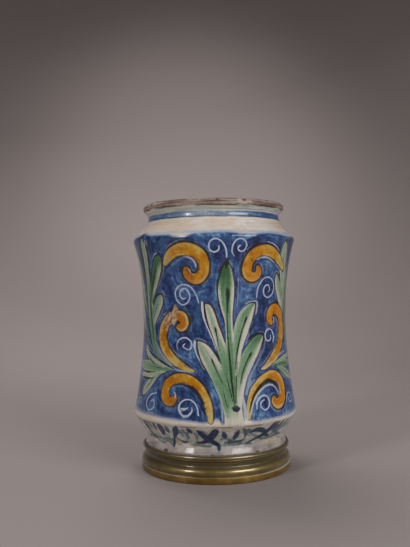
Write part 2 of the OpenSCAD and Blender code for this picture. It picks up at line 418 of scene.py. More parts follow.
# ---------------------------------------------------------------- painted ornament
# Motifs are brush strokes: a line of given points (degrees round the jar, height in mm, half width in mm).
DEG = 1.085  # mm of surface to a degree, near enough everywhere on the body


def spline(pts, step=0.35):
    """Smooth line through the points (Catmull-Rom), evenly resampled; columns as given, first two are x,y in mm."""
    p = np.array(pts, float)
    q = np.vstack([2 * p[0] - p[1], p, 2 * p[-1] - p[-2]])
    out = []
    for i in range(1, len(q) - 2):
        a, b, c, d = q[i - 1], q[i], q[i + 1], q[i + 2]
        n = max(4, int(np.hypot(*(c - b)[:2]) / step))
        t = (np.arange(n) / n)[:, None]
        out.append(0.5 * (2 * b + (c - a) * t + (2 * a - 5 * b + 4 * c - d) * t * t + (3 * b - a - 3 * c + d) * t ** 3))
    out.append(p[-1][None])
    return np.vstack(out)


def place(pts, c0=9.0, to=9.0, sx=1.0, flip=False, jitter=0.0, g=None):
    """Move a motif round the jar: c0 is its unit's middle as drawn, to where it goes."""
    p = np.array(pts, float)
    x = (p[:, 0] - c0) * sx * (-1 if flip else 1)
    z = p[:, 1].copy()
    if jitter and g is not None:
        a, b = g.uniform(-1, 1, 2) * jitter
        x = x + a
        z = z + b * 0.6 + (z - 117) * g.uniform(-0.01, 0.01) * jitter
    return np.column_stack([x + to, z] + [p[:, i] for i in range(2, p.shape[1])])


class Field:
    """Nearest of many brush strokes at each vertex of the jar: distance, side, place along it, and the stroke's own values."""

    def __init__(self, far=14.0, channels=1):
        self.sdf = np.full(NV, far)
        self.lat = np.zeros(NV)
        self.along = np.zeros(NV)
        self.s = np.full(NV, far)
        self.hw = np.full(NV, -1.0)
        self.ex = np.zeros((NV, channels))
        self.far = far

    def stroke(self, pts, extra=0.0):
        p = np.array(pts, float)
        line = spline(np.column_stack([p[:, 0] * DEG, p[:, 1:]]))
        x, y = line[:, 0], line[:, 1]
        hw = np.clip(line[:, 2], 0.15, None)
        mid = 0.5 * (x.min() + x.max()) / DEG
        px = ((TH - mid + 180) % 360 - 180 + mid) * DEG
        mar = self.far
        sel = np.where(painted & (px > x.min() - mar) & (px < x.max() + mar)
                       & (ZZ > y.min() - mar) & (ZZ < y.max() + mar))[0]
        if not len(sel):
            return
        tx, ty = np.gradient(x), np.gradient(y)
        ln = np.hypot(tx, ty)
        tx, ty = tx / ln, ty / ln
        u = np.linspace(0, 1, len(x))
        for part in np.array_split(sel, max(1, len(sel) * len(x) // 4000000 + 1)):
            dx = px[part][:, None] - x[None]
            dy = ZZ[part][:, None] - y[None]
            d = np.hypot(dx, dy)
            k = np.argmin(d - hw[None], 1)
            i = np.arange(len(part))
            dd = d[i, k] - hw[k]
            side = tx[k] * dy[i, k] - ty[k] * dx[i, k]
            better = dd < self.sdf[part]
            q, kk = part[better], k[better]
            self.sdf[q] = dd[better]
            sg = np.sign(side[better])
            sg[sg == 0] = 1
            lat = np.clip(side[better] / hw[kk], -1.6, 1.6)
            self.s[q] = sg * d[i, k][better]
            self.hw[q] = hw[kk]
            self.lat[q] = lat
            self.along[q] = u[kk]
            vals = extra(u[kk], lat, TH[q], ZZ[q]) if callable(extra) else extra
            for c, v in enumerate(vals if isinstance(vals, tuple) else (vals,)):
                self.ex[q, c] = v

    def thin(self):
        """Signed distance and half width, with the half width turned off away from the stroke."""
        gate = np.clip((np.abs(self.s) - self.hw - 0.42) / 0.35, 0, 1)
        return np.clip(self.s, -4, 4), self.hw * (1 - gate) - 0.9 * gate


painted = (jsec >= 2) & (jsec <= 4)


def leafy(shade, left, right, tint=0.0, flip=False):
    """Values of a leaf: how green, width of its outline on each side along it, which side, and how blue."""
    lu, lw = zip(*left)
    ru, rw = zip(*right)

    def f(u, l, t, z):
        if flip:
            l = -l
        k = np.clip(l + 0.5, 0, 1)
        return shade(u, l, z), np.interp(u, lu, lw) * (1 - k) + np.interp(u, ru, rw) * k, k, tint * up(u, -.5, .6)
    return f


def up(v, a, b):
    return np.clip((v - a) / (b - a), 0, 1)


# palmette: leaves from tip to stem, with how green (u along, l across, right is positive) and outline widths left and right
PALM = [
    ([(9.3, 167.6, .5), (9.1, 162, 3.7), (8.8, 153, 6.0), (8.7, 147, 6.5), (8.9, 140, 6.0), (9.3, 133, 4.9), (10.0, 127, 3.7),
      (10.5, 120, 3.0), (11, 112, 3.0), (11.4, 100, 3.6), (12, 85, 4.4), (12, 72, 5.0), (11.6, 60, 5.4), (11.6, 49.3, 6.4)],
     lambda u, l, z: np.interp(z, [49, 58, 66, 75, 110, 122, 132, 142, 150, 158, 168], [.06, .36, .60, .70, .60, .56, .62, .70, .82, .95, 1.0])
     - .70 * up(l, .42, .85) * up(z, 100, 112) - .62 * up(-l, .50, .9) * up(158 - z, 0, 12) * up(z, 96, 112) - .25 * up(l, .5, .8) * up(160 - z, 0, 90),
     [(0, 2.1), (.06, 2.2), (.12, 1.7), (.2, 1.35), (.3, 1.1), (.37, .4), (.44, 0), (1, 0)], [(0, 1.3), (.08, .75), (.2, .6), (.3, .5), (.36, .25), (.42, 0), (1, 0)]),
    ([(-6.2, 135.9, .9), (-4.6, 133.6, 2.4), (-3.3, 130, 3.2), (-2.0, 125, 3.6), (-.3, 119, 3.7), (1.6, 113.5, 3.8), (3.9, 106, 3.8),
      (6, 98, 3.6), (8.2, 88, 3.4), (9.6, 76, 3.0), (10.5, 64, 2.5)],
     lambda u, l, z: .34 - .34 * up(np.abs(l), .25, .8) * up(z, 96, 108) + .30 * up(112 - z, 0, 22),
     [(0, 1.5), (.1, 1.2), (.25, .95), (.4, .5), (.5, .2), (.6, 0), (1, 0)], [(0, 1.8), (.1, 1.8), (.2, 1.6), (.32, 1.1), (.42, .3), (.5, 0), (1, 0)]),
    ([(31.0, 135.8, .8), (28.6, 133.8, 3.0), (25.8, 130.2, 5.0), (23.0, 125, 6.4), (21.0, 120, 6.4), (19.2, 114, 5.7), (17.3, 107, 4.6),
      (15.6, 99, 3.8), (14.3, 90, 3.2), (13.4, 78, 2.8), (12.8, 66, 2.3)],
     lambda u, l, z: .50 - .50 * up(l, .18, .55) - .30 * up(-l, .45, .9) + .14 * up(z, 124, 129) * up(.5 - np.abs(l + .1), 0, .3),
     [(0, .9), (.05, .9), (.1, .35), (.16, 0), (1, 0)], [(0, 1.0), (.06, 1.0), (.12, .65), (.2, .35), (.3, .15), (.38, 0), (1, 0)]),
    ([(-12.0, 107.6, .8), (-10.0, 105, 2.8), (-7.4, 101, 4.8), (-4.8, 96, 5.7), (-2, 90.5, 5.8), (.6, 84.5, 5.4), (3.1, 78, 4.9),
      (5.4, 71, 4.4), (7.3, 63, 3.8), (8.6, 55, 3.3), (9, 49.3, 3.4)],
     lambda u, l, z: .40 - .40 * up(l, .05, .6) * up(z, 84, 92) + .22 * up(92 - z, 0, 14) - .30 * up(-l, .5, .9) - .3 * up(60 - z, 0, 8),
     [(0, 1.3), (.08, 1.0), (.2, .6), (.35, .45), (.5, .25), (.6, 0), (1, 0)], [(0, 1.0), (.06, .9), (.12, .55), (.2, .25), (.3, 0), (1, 0)]),
    ([(37.9, 111.2, 1.1), (35.6, 109.2, 3.2), (32.3, 105.8, 5.1), (28.5, 100.5, 6.1), (25, 95, 6.0), (21.9, 89, 5.4), (19.2, 82, 4.5),
      (17.3, 74, 3.7), (15.9, 65, 3.1), (15, 57, 2.9), (14.8, 49.3, 3.8)],
     lambda u, l, z: .58 - .48 * up(l, .12, .6) - .18 * up(-l, .6, .95) + .15 * up(z, 102, 108) - .30 * up(84 - z, 0, 14) - .25 * up(70 - z, 0, 8),
     [(0, 1.4), (.07, 1.5), (.14, .9), (.22, .3), (.3, 0), (1, 0)], [(0, 1.5), (.06, 1.5), (.12, .9), (.2, .35), (.32, .2), (.45, 0), (1, 0)]),
]
# dark lines inside the palmette
PALM_INK = [
    [(8.2, 171.4, .4), (9.2, 168.8, 1.6), (9.0, 166.4, 1.4), (8.2, 163.6, .6)], [(9.6, 168.4, .7), (10.8, 170.6, .3)],
    [(9.4, 149.0, .3), (9.7, 146.6, 1.5), (9.9, 143.5, 1.8), (9.9, 140.4, 1.4), (9.6, 136, .8), (9.4, 128, .55), (9.3, 120, .5), (9.5, 112, .5),
     (10, 104, .6), (10.5, 96, .75), (10.9, 88, .85), (11.3, 80, .8), (11.9, 72, .7), (12.5, 65, .55), (12.8, 61.6, .35)],
    [(.3, 119.0, .3), (.8, 116.6, .85), (1.6, 112, .5), (2.4, 107, .4), (3.6, 101, .25)],
    [(24.5, 126.6, .3), (23.6, 124.4, 1.0), (22.4, 121, .75), (20.8, 117, .6), (19.2, 112, .6), (17.6, 106, .65), (16.3, 100, .6), (15.4, 94, .5), (14.8, 87, .35)],
    [(-2.5, 95.6, .3), (-1.7, 93, .8), (-.4, 90, .6), (1.2, 86, .5), (3, 81.5, .4), (4.6, 77, .25)],
    [(-1.2, 103, .25), (.4, 99.4, .55), (2.0, 96, .6), (3.0, 93, .3)], [(1.5, 100, .25), (3.2, 95, .4), (4.4, 91.5, .25)],
    [(49.6, 68.4, .4), (48.7, 71.4, .9), (45.2, 74.9, 1.4), (41, 76.5, 1.7), (36.4, 75.5, 1.5), (31.8, 72.2, 1.2), (27.6, 67.4, 1.0), (24.8, 61.4, .8), (22.9, 55.0, .5)],
    [(27.4, 98.7, .4), (26.3, 97.2, 1.0), (24.6, 94.5, .65), (22.4, 90.5, .55), (20.4, 86, .45), (18.8, 81, .4), (17.8, 76, .25)],
]
# finer dark lines beside them
FINE_INK = [
    [(7.2, 86, .2), (8.4, 79, .4), (9.9, 71.5, .5), (11.5, 63.5, .35)], [(16.4, 92, .25), (15.4, 84, .4), (14.6, 76, .45), (14.0, 69, .4), (13.4, 62, .3)],
    [(5.4, 72, .2), (6.7, 64, .35), (8.0, 58.5, .25)],
]
# blue-black lines
BLUE_INK = [
    [(12.2, 58.0, 1.5), (13.2, 57.8, 2.4), (14.1, 57.7, 2.4), (14.9, 57.9, 1.4)],
    [(24.6, 107.6, .4), (28, 111, 1.1), (31.6, 113, 1.0), (36, 112.8, .8), (39, 111.4, .8), (39, 107.5, .7), (37.6, 103, .4)],
    [(-20, 75.0, .5), (-15.6, 73.4, 1.1), (-12, 69.8, 1.2), (-9.2, 65, 1.1), (-7.6, 59.5, .9), (-6.8, 54, .6)],
    [(-31, 86.8, .5), (-37.8, 89.6, .9), (-45.8, 93.0, 1.1), (-54.3, 96.4, 1.2), (-60, 99.6, .9), (-64, 102.8, .5)],
    [(66.4, 131, .5), (68.2, 125, 1.1), (68.6, 118, 1.3), (68, 111, 1.1), (66, 105, .6)], [(59.4, 64.5, .5), (60.2, 69, .9), (59, 75, .8), (56, 79.6, .5)],
    [(-25.4, 68.6, .3), (-24.2, 64, .4), (-26.4, 60, .5), (-30, 57.4, .5)],
]
# ochre scrolls: points, whether the list runs from tail to head, outline width outside and inside the curl from tail to head, pale outer edge
SCROLLS = [
    ([(-36.2, 168.4, 2.6), (-34.4, 171.2, 3.5), (-31, 174.6, 4.2), (-26, 177.6, 4.5), (-20.5, 178.5, 5.0), (-14.5, 177.3, 5.0), (-9.7, 173.6, 4.8),
      (-7.2, 168, 4.4), (-7.2, 162, 4.3), (-9.3, 157.8, 4.3), (-13, 155.6, 4.2), (-17, 156.8, 3.9), (-19.6, 159.8, 3.4), (-19.8, 163, 2.6)], True,
     [(0, .05), (.10, .15), (.2, .9), (.3, 1.4), (.5, 1.6), (.7, 1.3), (.85, .8), (1, .6)], [(0, .3), (.2, .8), (.35, .5), (.55, .4), (.7, 1.0), (.9, 1.0), (1, .8)], .45),
    ([(63, 163, 1.5), (59.5, 166, 2.8), (55, 169.6, 3.5), (50, 173, 3.9), (44.5, 176, 4.2), (38, 177.4, 4.3), (32, 176.2, 4.3), (27.2, 172.3, 4.3),
      (24.5, 166.5, 4.2), (24, 161, 4.1), (26, 157.4, 3.9), (29.5, 156.5, 3.6), (32.7, 158.4, 3.2), (33.7, 161.6, 2.6), (32.7, 164.0, 1.8)], True,
     [(0, .2), (.15, .4), (.3, 1.3), (.5, 1.5), (.7, 1.5), (.85, 1.0), (1, .9)], [(0, .5), (.3, .6), (.5, .9), (.7, 1.0), (1, .9)], .35),
    ([(-27.8, 119, 2.2), (-25.6, 118.2, 2.9), (-23.5, 119.7, 3.6), (-22.8, 123, 4.1), (-24.8, 126.6, 4.3), (-29, 127.7, 4.1), (-34, 126, 4.2), (-38.8, 122, 4.4),
      (-41.8, 116, 4.6), (-42.4, 110, 4.6), (-40.4, 103.5, 4.4), (-36.4, 98, 4.0), (-31, 93.4, 3.5), (-25, 89.7, 2.9), (-19.6, 87.1, 2.0), (-14.6, 85.6, .7)], False,
     [(0, .1), (.3, .25), (.5, .4), (.65, .6), (.78, 1.0), (.9, 1.5), (1, 1.4)], [(0, .3), (.15, .9), (.4, 1.0), (.6, .8), (.75, .7), (1, .8)], .85),
    ([(49, 120.3, 1.2), (47.3, 121.5, 2.6), (45.6, 124.6, 3.2), (47.2, 128.8, 4.0), (51.5, 131.3, 4.4), (56.5, 130.3, 4.6), (60.7, 126.3, 4.8), (62.6, 120, 4.8),
      (62.5, 113, 4.8), (60.3, 106.3, 4.6), (56, 100.4, 4.4), (50.3, 95, 4.0), (44, 90.3, 3.0), (38.5, 87, 1.9), (35, 85.8, .8)], False,
     [(0, .1), (.3, .3), (.5, .6), (.7, .9), (.85, 1.4), (1, 1.2)], [(0, .1), (.3, .3), (.6, .6), (.8, .8), (1, 1.0)], .4),
    ([(-28.6, 66.4, 1.4), (-29.3, 63.8, 2.8), (-32.2, 62, 3.7), (-35.6, 63.6, 3.9), (-37.2, 68, 3.9), (-36.3, 73, 3.9), (-32.8, 77.3, 3.9), (-27.5, 79.7, 3.9),
      (-22, 79.8, 3.9), (-16.4, 77.7, 3.9), (-11.5, 73.6, 3.7), (-7.8, 68, 3.4), (-5.2, 61.5, 3.0), (-3.8, 55, 2.6), (-3.2, 48.8, 1.8)], False,
     [(0, .4), (.1, 1.0), (.25, 1.2), (.45, 1.2), (.58, .8), (.7, .3), (1, .25)], [(0, .1), (.12, .5), (.3, 1.2), (.5, 1.1), (.65, .4), (.8, .15), (1, .15)], .4),
    ([(44.3, 63.3, 1.6), (44, 60.6, 3.0), (46.5, 58.3, 4.0), (50.5, 59, 4.4), (54, 63, 4.4), (55.2, 68.5, 4.4), (53.9, 74.2, 4.3), (50.2, 78.3, 4.2), (45, 80.1, 4.2),
      (39.3, 79.0, 4.0), (33.4, 76.0, 3.7), (28.3, 71.0, 3.4), (24.8, 64.6, 3.0), (22.8, 57.6, 2.4), (22.0, 50.4, 1.7)], False,
     [(0, .1), (.3, .25), (.5, .5), (.62, .8), (.75, 1.2), (.9, 1.1), (1, .8)], [(0, .1), (.6, .1), (.8, .3), (1, .6)], .75),
]
# pale spirals, tail first
SPIRALS = [
    [(8.6, 170.8, .5), (8.7, 175, .6), (7.6, 179.6, .6), (5.2, 183.6, .55), (2, 185.6, .55), (-1, 184.9, .55), (-3, 182, .55), (-3, 178.6, .55), (-1.2, 176.2, .55),
     (1.4, 175.9, .55), (3.4, 177.7, .5), (3.4, 180.4, .35)],
    [(13.8, 172.8, .35), (12.4, 176.2, .5), (12.8, 180.8, .55), (14.8, 184.4, .55), (17.8, 185.8, .55), (20.6, 184.6, .55), (22.3, 181.6, .55), (21.6, 178, .55),
     (19.2, 176, .55), (17, 177, .6), (16.4, 179.2, .6), (17.8, 180.6, .5)],
    [(-11.4, 137.8, .45), (-13.2, 143.2, .55), (-16.2, 148.4, .55), (-20.4, 151.2, .5), (-25, 151, .5), (-28.6, 148, .5), (-29.8, 143.6, .55), (-28.2, 139, .55),
     (-24.8, 136.2, .55), (-21, 136.8, .6), (-18.4, 140.2, .6), (-18.4, 144.8, .6), (-20.8, 148, .55), (-23.8, 147.9, .55), (-25.8, 145.4, .55), (-25.4, 142.2, .6),
     (-23.4, 140.4, .6), (-21.2, 141.2, .45)],
    [(32.8, 140.8, .45), (33.4, 146.6, .6), (35.8, 152, .6), (39.6, 155.8, .55), (44, 156.5, .55), (48, 154.4, .55), (50.6, 150, .6), (50, 145.2, .6), (47, 141.8, .55),
     (43, 140.8, .55), (40, 142.8, .65), (39.2, 146.4, .7), (41, 149.8, .65), (44, 150.2, .6), (45.8, 147.6, .5), (44.6, 145, .35)],
    [(-28.2, 101.6, .25), (-28.9, 105, .35), (-27.4, 108.6, .45), (-24.2, 110.6, .55), (-20.6, 110.3, .6), (-17.6, 107.8, .6), (-16.9, 104.4, .6), (-18.8, 101.7, .6),
     (-21.4, 102.4, .55), (-23.8, 104.2, .6), (-22.4, 106, .45)],
    [(49.4, 105.4, .6), (50.4, 109.6, .6), (48.8, 114, .6), (45.4, 116, .6), (42.2, 114.6, .65), (40.8, 111, .65), (41.8, 107.8, .65), (44.4, 106.8, .6), (46.8, 108.6, .6),
     (46.6, 111, .35)],
    [(-11.2, 53.3, .5), (-11.8, 57.4, .55), (-13.6, 61.6, .55), (-17, 64.4, .55), (-20.8, 64.2, .55), (-24, 61.6, .6), (-25, 57.8, .7), (-23.6, 54, .8), (-20.6, 52, .9),
     (-17.4, 53.4, .8), (-15.6, 56.4, .5), (-15.8, 58.6, .3)],
    [(-23.6, 57.8, .4), (-22.0, 57.2, .9), (-20.2, 57.4, .75), (-18.6, 58.4, .35)],
    [(28.6, 56.2, .4), (28.8, 60.6, .55), (31.2, 64.2, .6), (34.6, 65.8, .6), (37.6, 64.8, .6), (39.2, 61.4, .6), (38.8, 57.8, .6), (36.2, 55.2, .6), (33.4, 55.6, .6),
     (31.6, 58.4, .7), (32.6, 61.4, .6), (35.0, 62.4, .4)],
    [(-45.7, 67.4, .35), (-51.0, 65.4, .5), (-55.0, 61.8, .5), (-56.0, 57.2, .42), (-52.8, 53.4, .4), (-48.2, 54.8, .4), (-46.4, 58.6, .4), (-48.2, 61.6, .4), (-50.8, 60.4, .3)],
    [(58.6, 57.4, .3), (60.2, 61.4, .45), (63.4, 64, .45), (67, 63.2, .45), (68.8, 60, .45), (67.4, 56.8, .45), (64.4, 56.6, .45), (63.2, 59, .4), (64.8, 60.8, .3)],
    [(-57, 178, .25), (-55.4, 182.6, .4), (-53.4, 187, .35)], [(-54.6, 176, .2), (-53.2, 181, .35), (-51.8, 186.4, .25)],
]
# bare glaze left beside outlines: points, strength, 0 blue-white to 1 cream
RESERVES = [
    ([(-8.8, 137.5, 1.0), (-8.7, 133, 1.0), (-8, 127, .75), (-6.2, 121, .55), (-3.6, 115, .45), (-1, 108, .4), (1, 102, .35)], .95, .7),
    ([(-14.5, 107.8, .9), (-14.6, 104, .8), (-13.7, 99.5, .55), (-11.2, 94, .4)], .9, .5),
    ([(23, 136.2, .25), (28.5, 138.0, .35), (32.6, 137.8, .6), (33.6, 135, .6), (33.0, 131, .5), (32.2, 128, .3)], .75, .4),
    ([(17.4, 158, .3), (17.8, 150, .55), (17.6, 142, .55), (16.6, 134, .5)], .22, .0),
    ([(40.4, 112.5, .3), (40.4, 108, .4), (39.6, 103.5, .45), (37.6, 99, .5), (34.6, 95, .5), (30.2, 88.6, .75), (26.2, 82, .8), (23.4, 75, .8), (21.6, 68, .8)], .30, .05),
    ([(-49.2, 171.6, .3), (-46.6, 174.9, .6), (-43.8, 176.2, .5)], .42, .3), ([(-38.2, 169, .4), (-38.6, 164, .5), (-40.2, 159, .4)], .30, .5),
    ([(-43.0, 147.2, .3), (-41, 146.0, .6), (-39.4, 143.2, .4)], .42, .2),
    ([(-21.5, 172.6, .25), (-17.8, 172.2, .7), (-14.7, 170.2, 1.0), (-12.9, 167, .85), (-12.7, 164.4, .4)], .62, .3),
    ([(-16.6, 160.4, .4), (-17.6, 163.0, .6)], .6, .6),
    ([(39, 183.8, .3), (45, 182.2, .5), (49.5, 179.8, .5), (52.4, 177.4, .3)], .7, .4), ([(31, 169.8, .3), (35, 171.6, .6), (40, 172, .6), (45, 170.0, .45), (49, 167.6, .3)], .75, .5),
    ([(49.2, 65.4, .4), (47.6, 69.6, .6), (44.4, 72.4, .7), (40.9, 73.3, .7), (36.0, 72.0, .7), (30.9, 68.3, .7), (27.3, 63.4, .6), (25.1, 58.2, .5), (23.9, 53.2, .4)], .85, .35),
    ([(50.6, 120.4, .5), (51.6, 123, .7), (50.4, 125, .5)], .7, .6), ([(53.4, 125.4, .3), (56.0, 121.6, .5), (56.8, 116.5, .4)], .5, .5),
    ([(-29.4, 69.6, .3), (-28.2, 67.4, .7), (-28.6, 65.2, .4)], .7, .5), ([(-49.6, 106, .5), (-45.0, 99.6, .8), (-39.6, 94.6, .8), (-33.2, 89.4, .6)], .50, .1), ([(-31.4, 87.0, .9), (-27.5, 86.1, .8), (-23, 85.3, .7), (-15.5, 84.2, .4)], .45, .1),
    ([(1.6, 74, .4), (3.4, 66, .6), (4.4, 58, .7), (4.6, 50, .6)], .5, .1), ([(18.4, 74, .4), (18.9, 66, .8), (19.6, 58, 1.3), (20.2, 50, 1.6)], .65, .55),
    ([(55.4, 150.6, .4), (53.6, 154.6, .7), (54.6, 157.4, .4)], .5, .7),
    ([(55.6, 146.4, .4), (60, 140.6, .6), (65.6, 136, .5)], .5, .3), ([(36, 85.2, .6), (41, 87.6, .9), (46, 90.4, .6)], .45, .6),
    ([(47, 89.8, .5), (53.8, 93.6, .8), (60, 96.0, .9), (66, 97.2, .7)], .5, .15),
]
# lobed side leaves, from the scrolls' knot outwards: points, green, outline width above and below
LOBES = [
    ([(-32, 87, .4), (-38, 88.0, 1.4), (-45.4, 90.4, 2.5), (-53.4, 93.4, 3.2), (-59.4, 96.8, 3.3), (-62.6, 99.6, 2.8), (-64, 101.6, 1.9)], .30, .0, .0),
    ([(-32, 86.2, .4), (-40, 86.4, 1.8), (-48, 86.7, 3.3), (-56, 86.8, 4.2), (-64, 87.0, 4.2), (-71, 87.4, 2.8)], .66, .0, .0),
    ([(-38, 84.4, .4), (-46, 82.4, 1.3), (-54, 80.5, 1.9), (-62, 79.6, 2.0), (-69, 79.2, 1.4)], .32, .0, .0),
    ([(-40, 84.2, .5), (-46.5, 81, 1.9), (-51, 77.4, 3.1), (-55, 73.4, 3.7), (-59, 69.4, 3.6), (-61.6, 66.8, 3.0), (-63, 65.4, 2.2)], .36, .2, .45),
    ([(46, 88.2, .5), (53, 89.8, 1.2), (60, 91.4, 1.7), (67, 92.4, 1.9), (74, 93.4, 1.6), (79, 94, .8)], .38, .2, .2),
    ([(49, 87.6, .6), (56, 87.6, 1.8), (63, 87.6, 2.6), (70, 87.4, 2.8), (77, 87.5, 1.6)], .74, .2, .25),
    ([(51, 86.6, .6), (57, 84.2, 2.0), (63, 81.2, 3.0), (69, 78, 3.2), (75, 75.2, 2.2), (79, 73.6, 1)], .46, .2, .3),
]
LOBES_INK = [
    [(-60, 95.0, .25), (-57, 92.6, .8), (-53.4, 90.6, .8), (-49.4, 89.2, .35)], [(-68, 82.4, .3), (-62, 82.0, .8), (-55, 82.4, .7), (-49, 83.4, .3)],
    [(-49.6, 79.0, .2), (-54, 77.6, .8), (-60, 77.2, 1.0), (-67, 77.4, .6)], [(-42, 86.4, .2), (-48, 86.8, .35), (-54, 86.8, .25)],
    [(-51, 77.6, .2), (-55, 73.6, .35), (-59, 69.6, .2)],
    [(57, 88.8, .2), (63, 87.8, .35), (69, 86.2, .4), (75, 84.8, .25)], [(60, 82.8, .2), (66, 80, .3), (72, 77, .2)],
]
SIDE = [(0, 1.1), (.2, .9), (.5, .5), (.8, .1), (1, 0)]
THIN = [(0, .7), (.2, .45), (.5, .2), (.8, 0), (1, 0)]
# tall plant between two palmettes, drawn about 0 degrees
PLANT = [
    ([(3.2, 187.2, 1.4), (2.8, 183, 2.9), (2.5, 176, 3.5), (2.2, 168, 3.4), (1.6, 158, 3.1), (1.5, 148, 3.3), (2.6, 138, 3.9), (3.8, 128, 4.4), (5.0, 119, 4.3), (7.0, 110, 3.3), (9.4, 103, 2.3)],
     lambda u, l, z: .46 - .44 * up(np.abs(l), .45, .9) * up(z, 126, 140) + .22 * up(160 - z, 0, 26) * up(.6 - np.abs(l), 0, .4) + .10 * up(140 - z, 0, 10), [(0, .5), (.3, .6), (.5, .3), (.7, 0), (1, 0)], THIN, .08),
    ([(18.6, 173.4, 1.2), (17.0, 169.6, 4.4), (14.2, 162.4, 5.2), (10.6, 154.4, 5.0), (6.6, 146.0, 4.0), (4.4, 138.0, 2.4), (3.8, 130.0, .7)],
     lambda u, l, z: .86 - .60 * up(l, -.05, .5) * up(170 - z, 0, 7) * (1 - .75 * up(u, .62, .85)) + .06 * up(-l, .3, .7), THIN, [(0, 1.7), (.25, 1.6), (.5, .9), (.8, .3), (1, 0)], 0.0),
    ([(17.2, 142.6, 1.2), (15.4, 139.2, 4.2), (12.4, 134.0, 5.0), (8.8, 128, 4.8), (6.2, 121, 3.4), (6.0, 113.5, 1.8), (7.2, 107, .6)],
     lambda u, l, z: .36 - .20 * up(l, .1, .7) + .28 * up(-l, .2, .8) + .40 * up(u, .56, .82), [(0, 1.6), (.3, 1.3), (.6, .6), (1, .2)], [(0, 1.5), (.2, 1.4), (.5, .6), (.8, .1), (1, 0)], .34),
    ([(-8.6, 184.4, 1.0), (-7.4, 180, 3.8), (-6.6, 174.6, 5.0), (-5.4, 167, 5.2), (-3.6, 157.6, 4.6), (-1.4, 148, 3.6)],
     lambda u, l, z: .36 - .24 * up(np.abs(l + .1), .3, .8) + .16 * up(l, .3, .8), THIN, SIDE, 0.0),
    ([(-14.4, 158.4, 1.0), (-12.6, 154.0, 3.3), (-9.8, 148.2, 4.9), (-6.0, 141, 5.2), (-2.2, 132, 4.4), (.2, 123, 3.4)],
     lambda u, l, z: .32 - .22 * up(-l, .2, .8) + .3 * up(l, .3, .7), THIN, SIDE, 0.0),
    ([(8.6, 105, 2.4), (11.4, 101.0, 2.2), (16, 96, 1.8), (22, 91.6, 1.3), (27.4, 88.6, .8)], lambda u, l, z: .78 - .3 * u - .2 * up(l, .2, .8), [(0, 0), (1, 0)], [(0, 0), (1, 0)], .95),
]
# the plant at the left side has its outer leaves further out, the one at the right starts lower
OUTER = {
    3: [(-19.6, 184.4, 1.0), (-18.4, 180, 3.8), (-17.3, 174.6, 5.0), (-15.6, 167, 5.1), (-13.4, 157.6, 4.2), (-10.8, 148, 3.0), (-7.4, 139, 1.9), (-3.6, 130.6, 1.1), (-.4, 124.6, .8), (2.6, 118, .6)],
    4: [(-25.2, 157.0, 1.0), (-23.2, 152.8, 3.3), (-20.0, 147.0, 4.8), (-16.2, 139.6, 5.1), (-13.0, 130.6, 4.0), (-9.8, 121.6, 2.5), (-5.6, 113.6, 1.4), (-.6, 107.6, 1.0), (4.8, 102.8, .8), (9.4, 99.2, .6)],
}
STALK = [(1.0, 166, 1.0), (1.0, 160, 2.4), (.9, 153, 3.5), (.6, 146, 4.3), (.4, 136, 4.9), (1.6, 125, 5.0), (4.0, 116, 4.4), (6.6, 107, 3.0)]
PLANT_INK = [
    [(15.0, 166.6, .25), (11.8, 160, .7), (8.4, 152, .9), (5.4, 144.6, .5)], [(13.2, 136.4, .25), (10.0, 131, .4), (7.4, 125.6, .3)],
    [(2.4, 152, .25), (2.5, 144, .6), (3.2, 134, .9), (4.2, 124, .9), (5.8, 115, .6), (7.6, 108, .3)],
    [(-1.0, 188.4, .5), (-2.2, 183, 1.4), (-3.4, 174, 1.7), (-3.8, 166, 1.6), (-3.6, 157, 1.3), (-3.4, 148, 1.0), (-3.2, 140, .6)],
    [(8.2, 187.4, .4), (7.4, 182, 1.0), (6.6, 174, 1.3), (5.6, 165, 1.3), (4.8, 157, 1.0), (4.4, 150, .5)],
    [(-6.8, 176, .25), (-5.2, 168.6, .4), (-3.4, 160, .35)], [(-10, 150.6, .25), (-6.6, 144, .45), (-3.6, 137.6, .3)],
    [(-3.2, 136, .3), (-2.2, 126, .7), (-.2, 116, .7), (2.8, 107, .3)],
]

UNITS = [(9.0, 1.0, False, 0.0), (130.0, 0.87, False, 1.0), (-125.0, 0.84, True, 1.0)]
PLANTS = [(-61.0, False), (69.5, False), (-176.0, True)]

leaf, scroll, ink, fine, pale, heel = Field(14.0, 4), Field(14.0, 3), Field(4.0, 1), Field(4.0, 1), Field(4.0, 2), Field(5.0, 2)
gj = np.random.default_rng(21)


def drawn_in(pts):
    """Side leaves of the units behind are shorter, so that they end where the next ones begin."""
    p = np.array(pts, float)
    knot, k = (46.0, 0.5) if p[-1, 0] > 9 else (-32.0, 0.4)
    p[:, 0] = knot + (p[:, 0] - knot) * k
    p[:, 2] *= 0.75
    return p


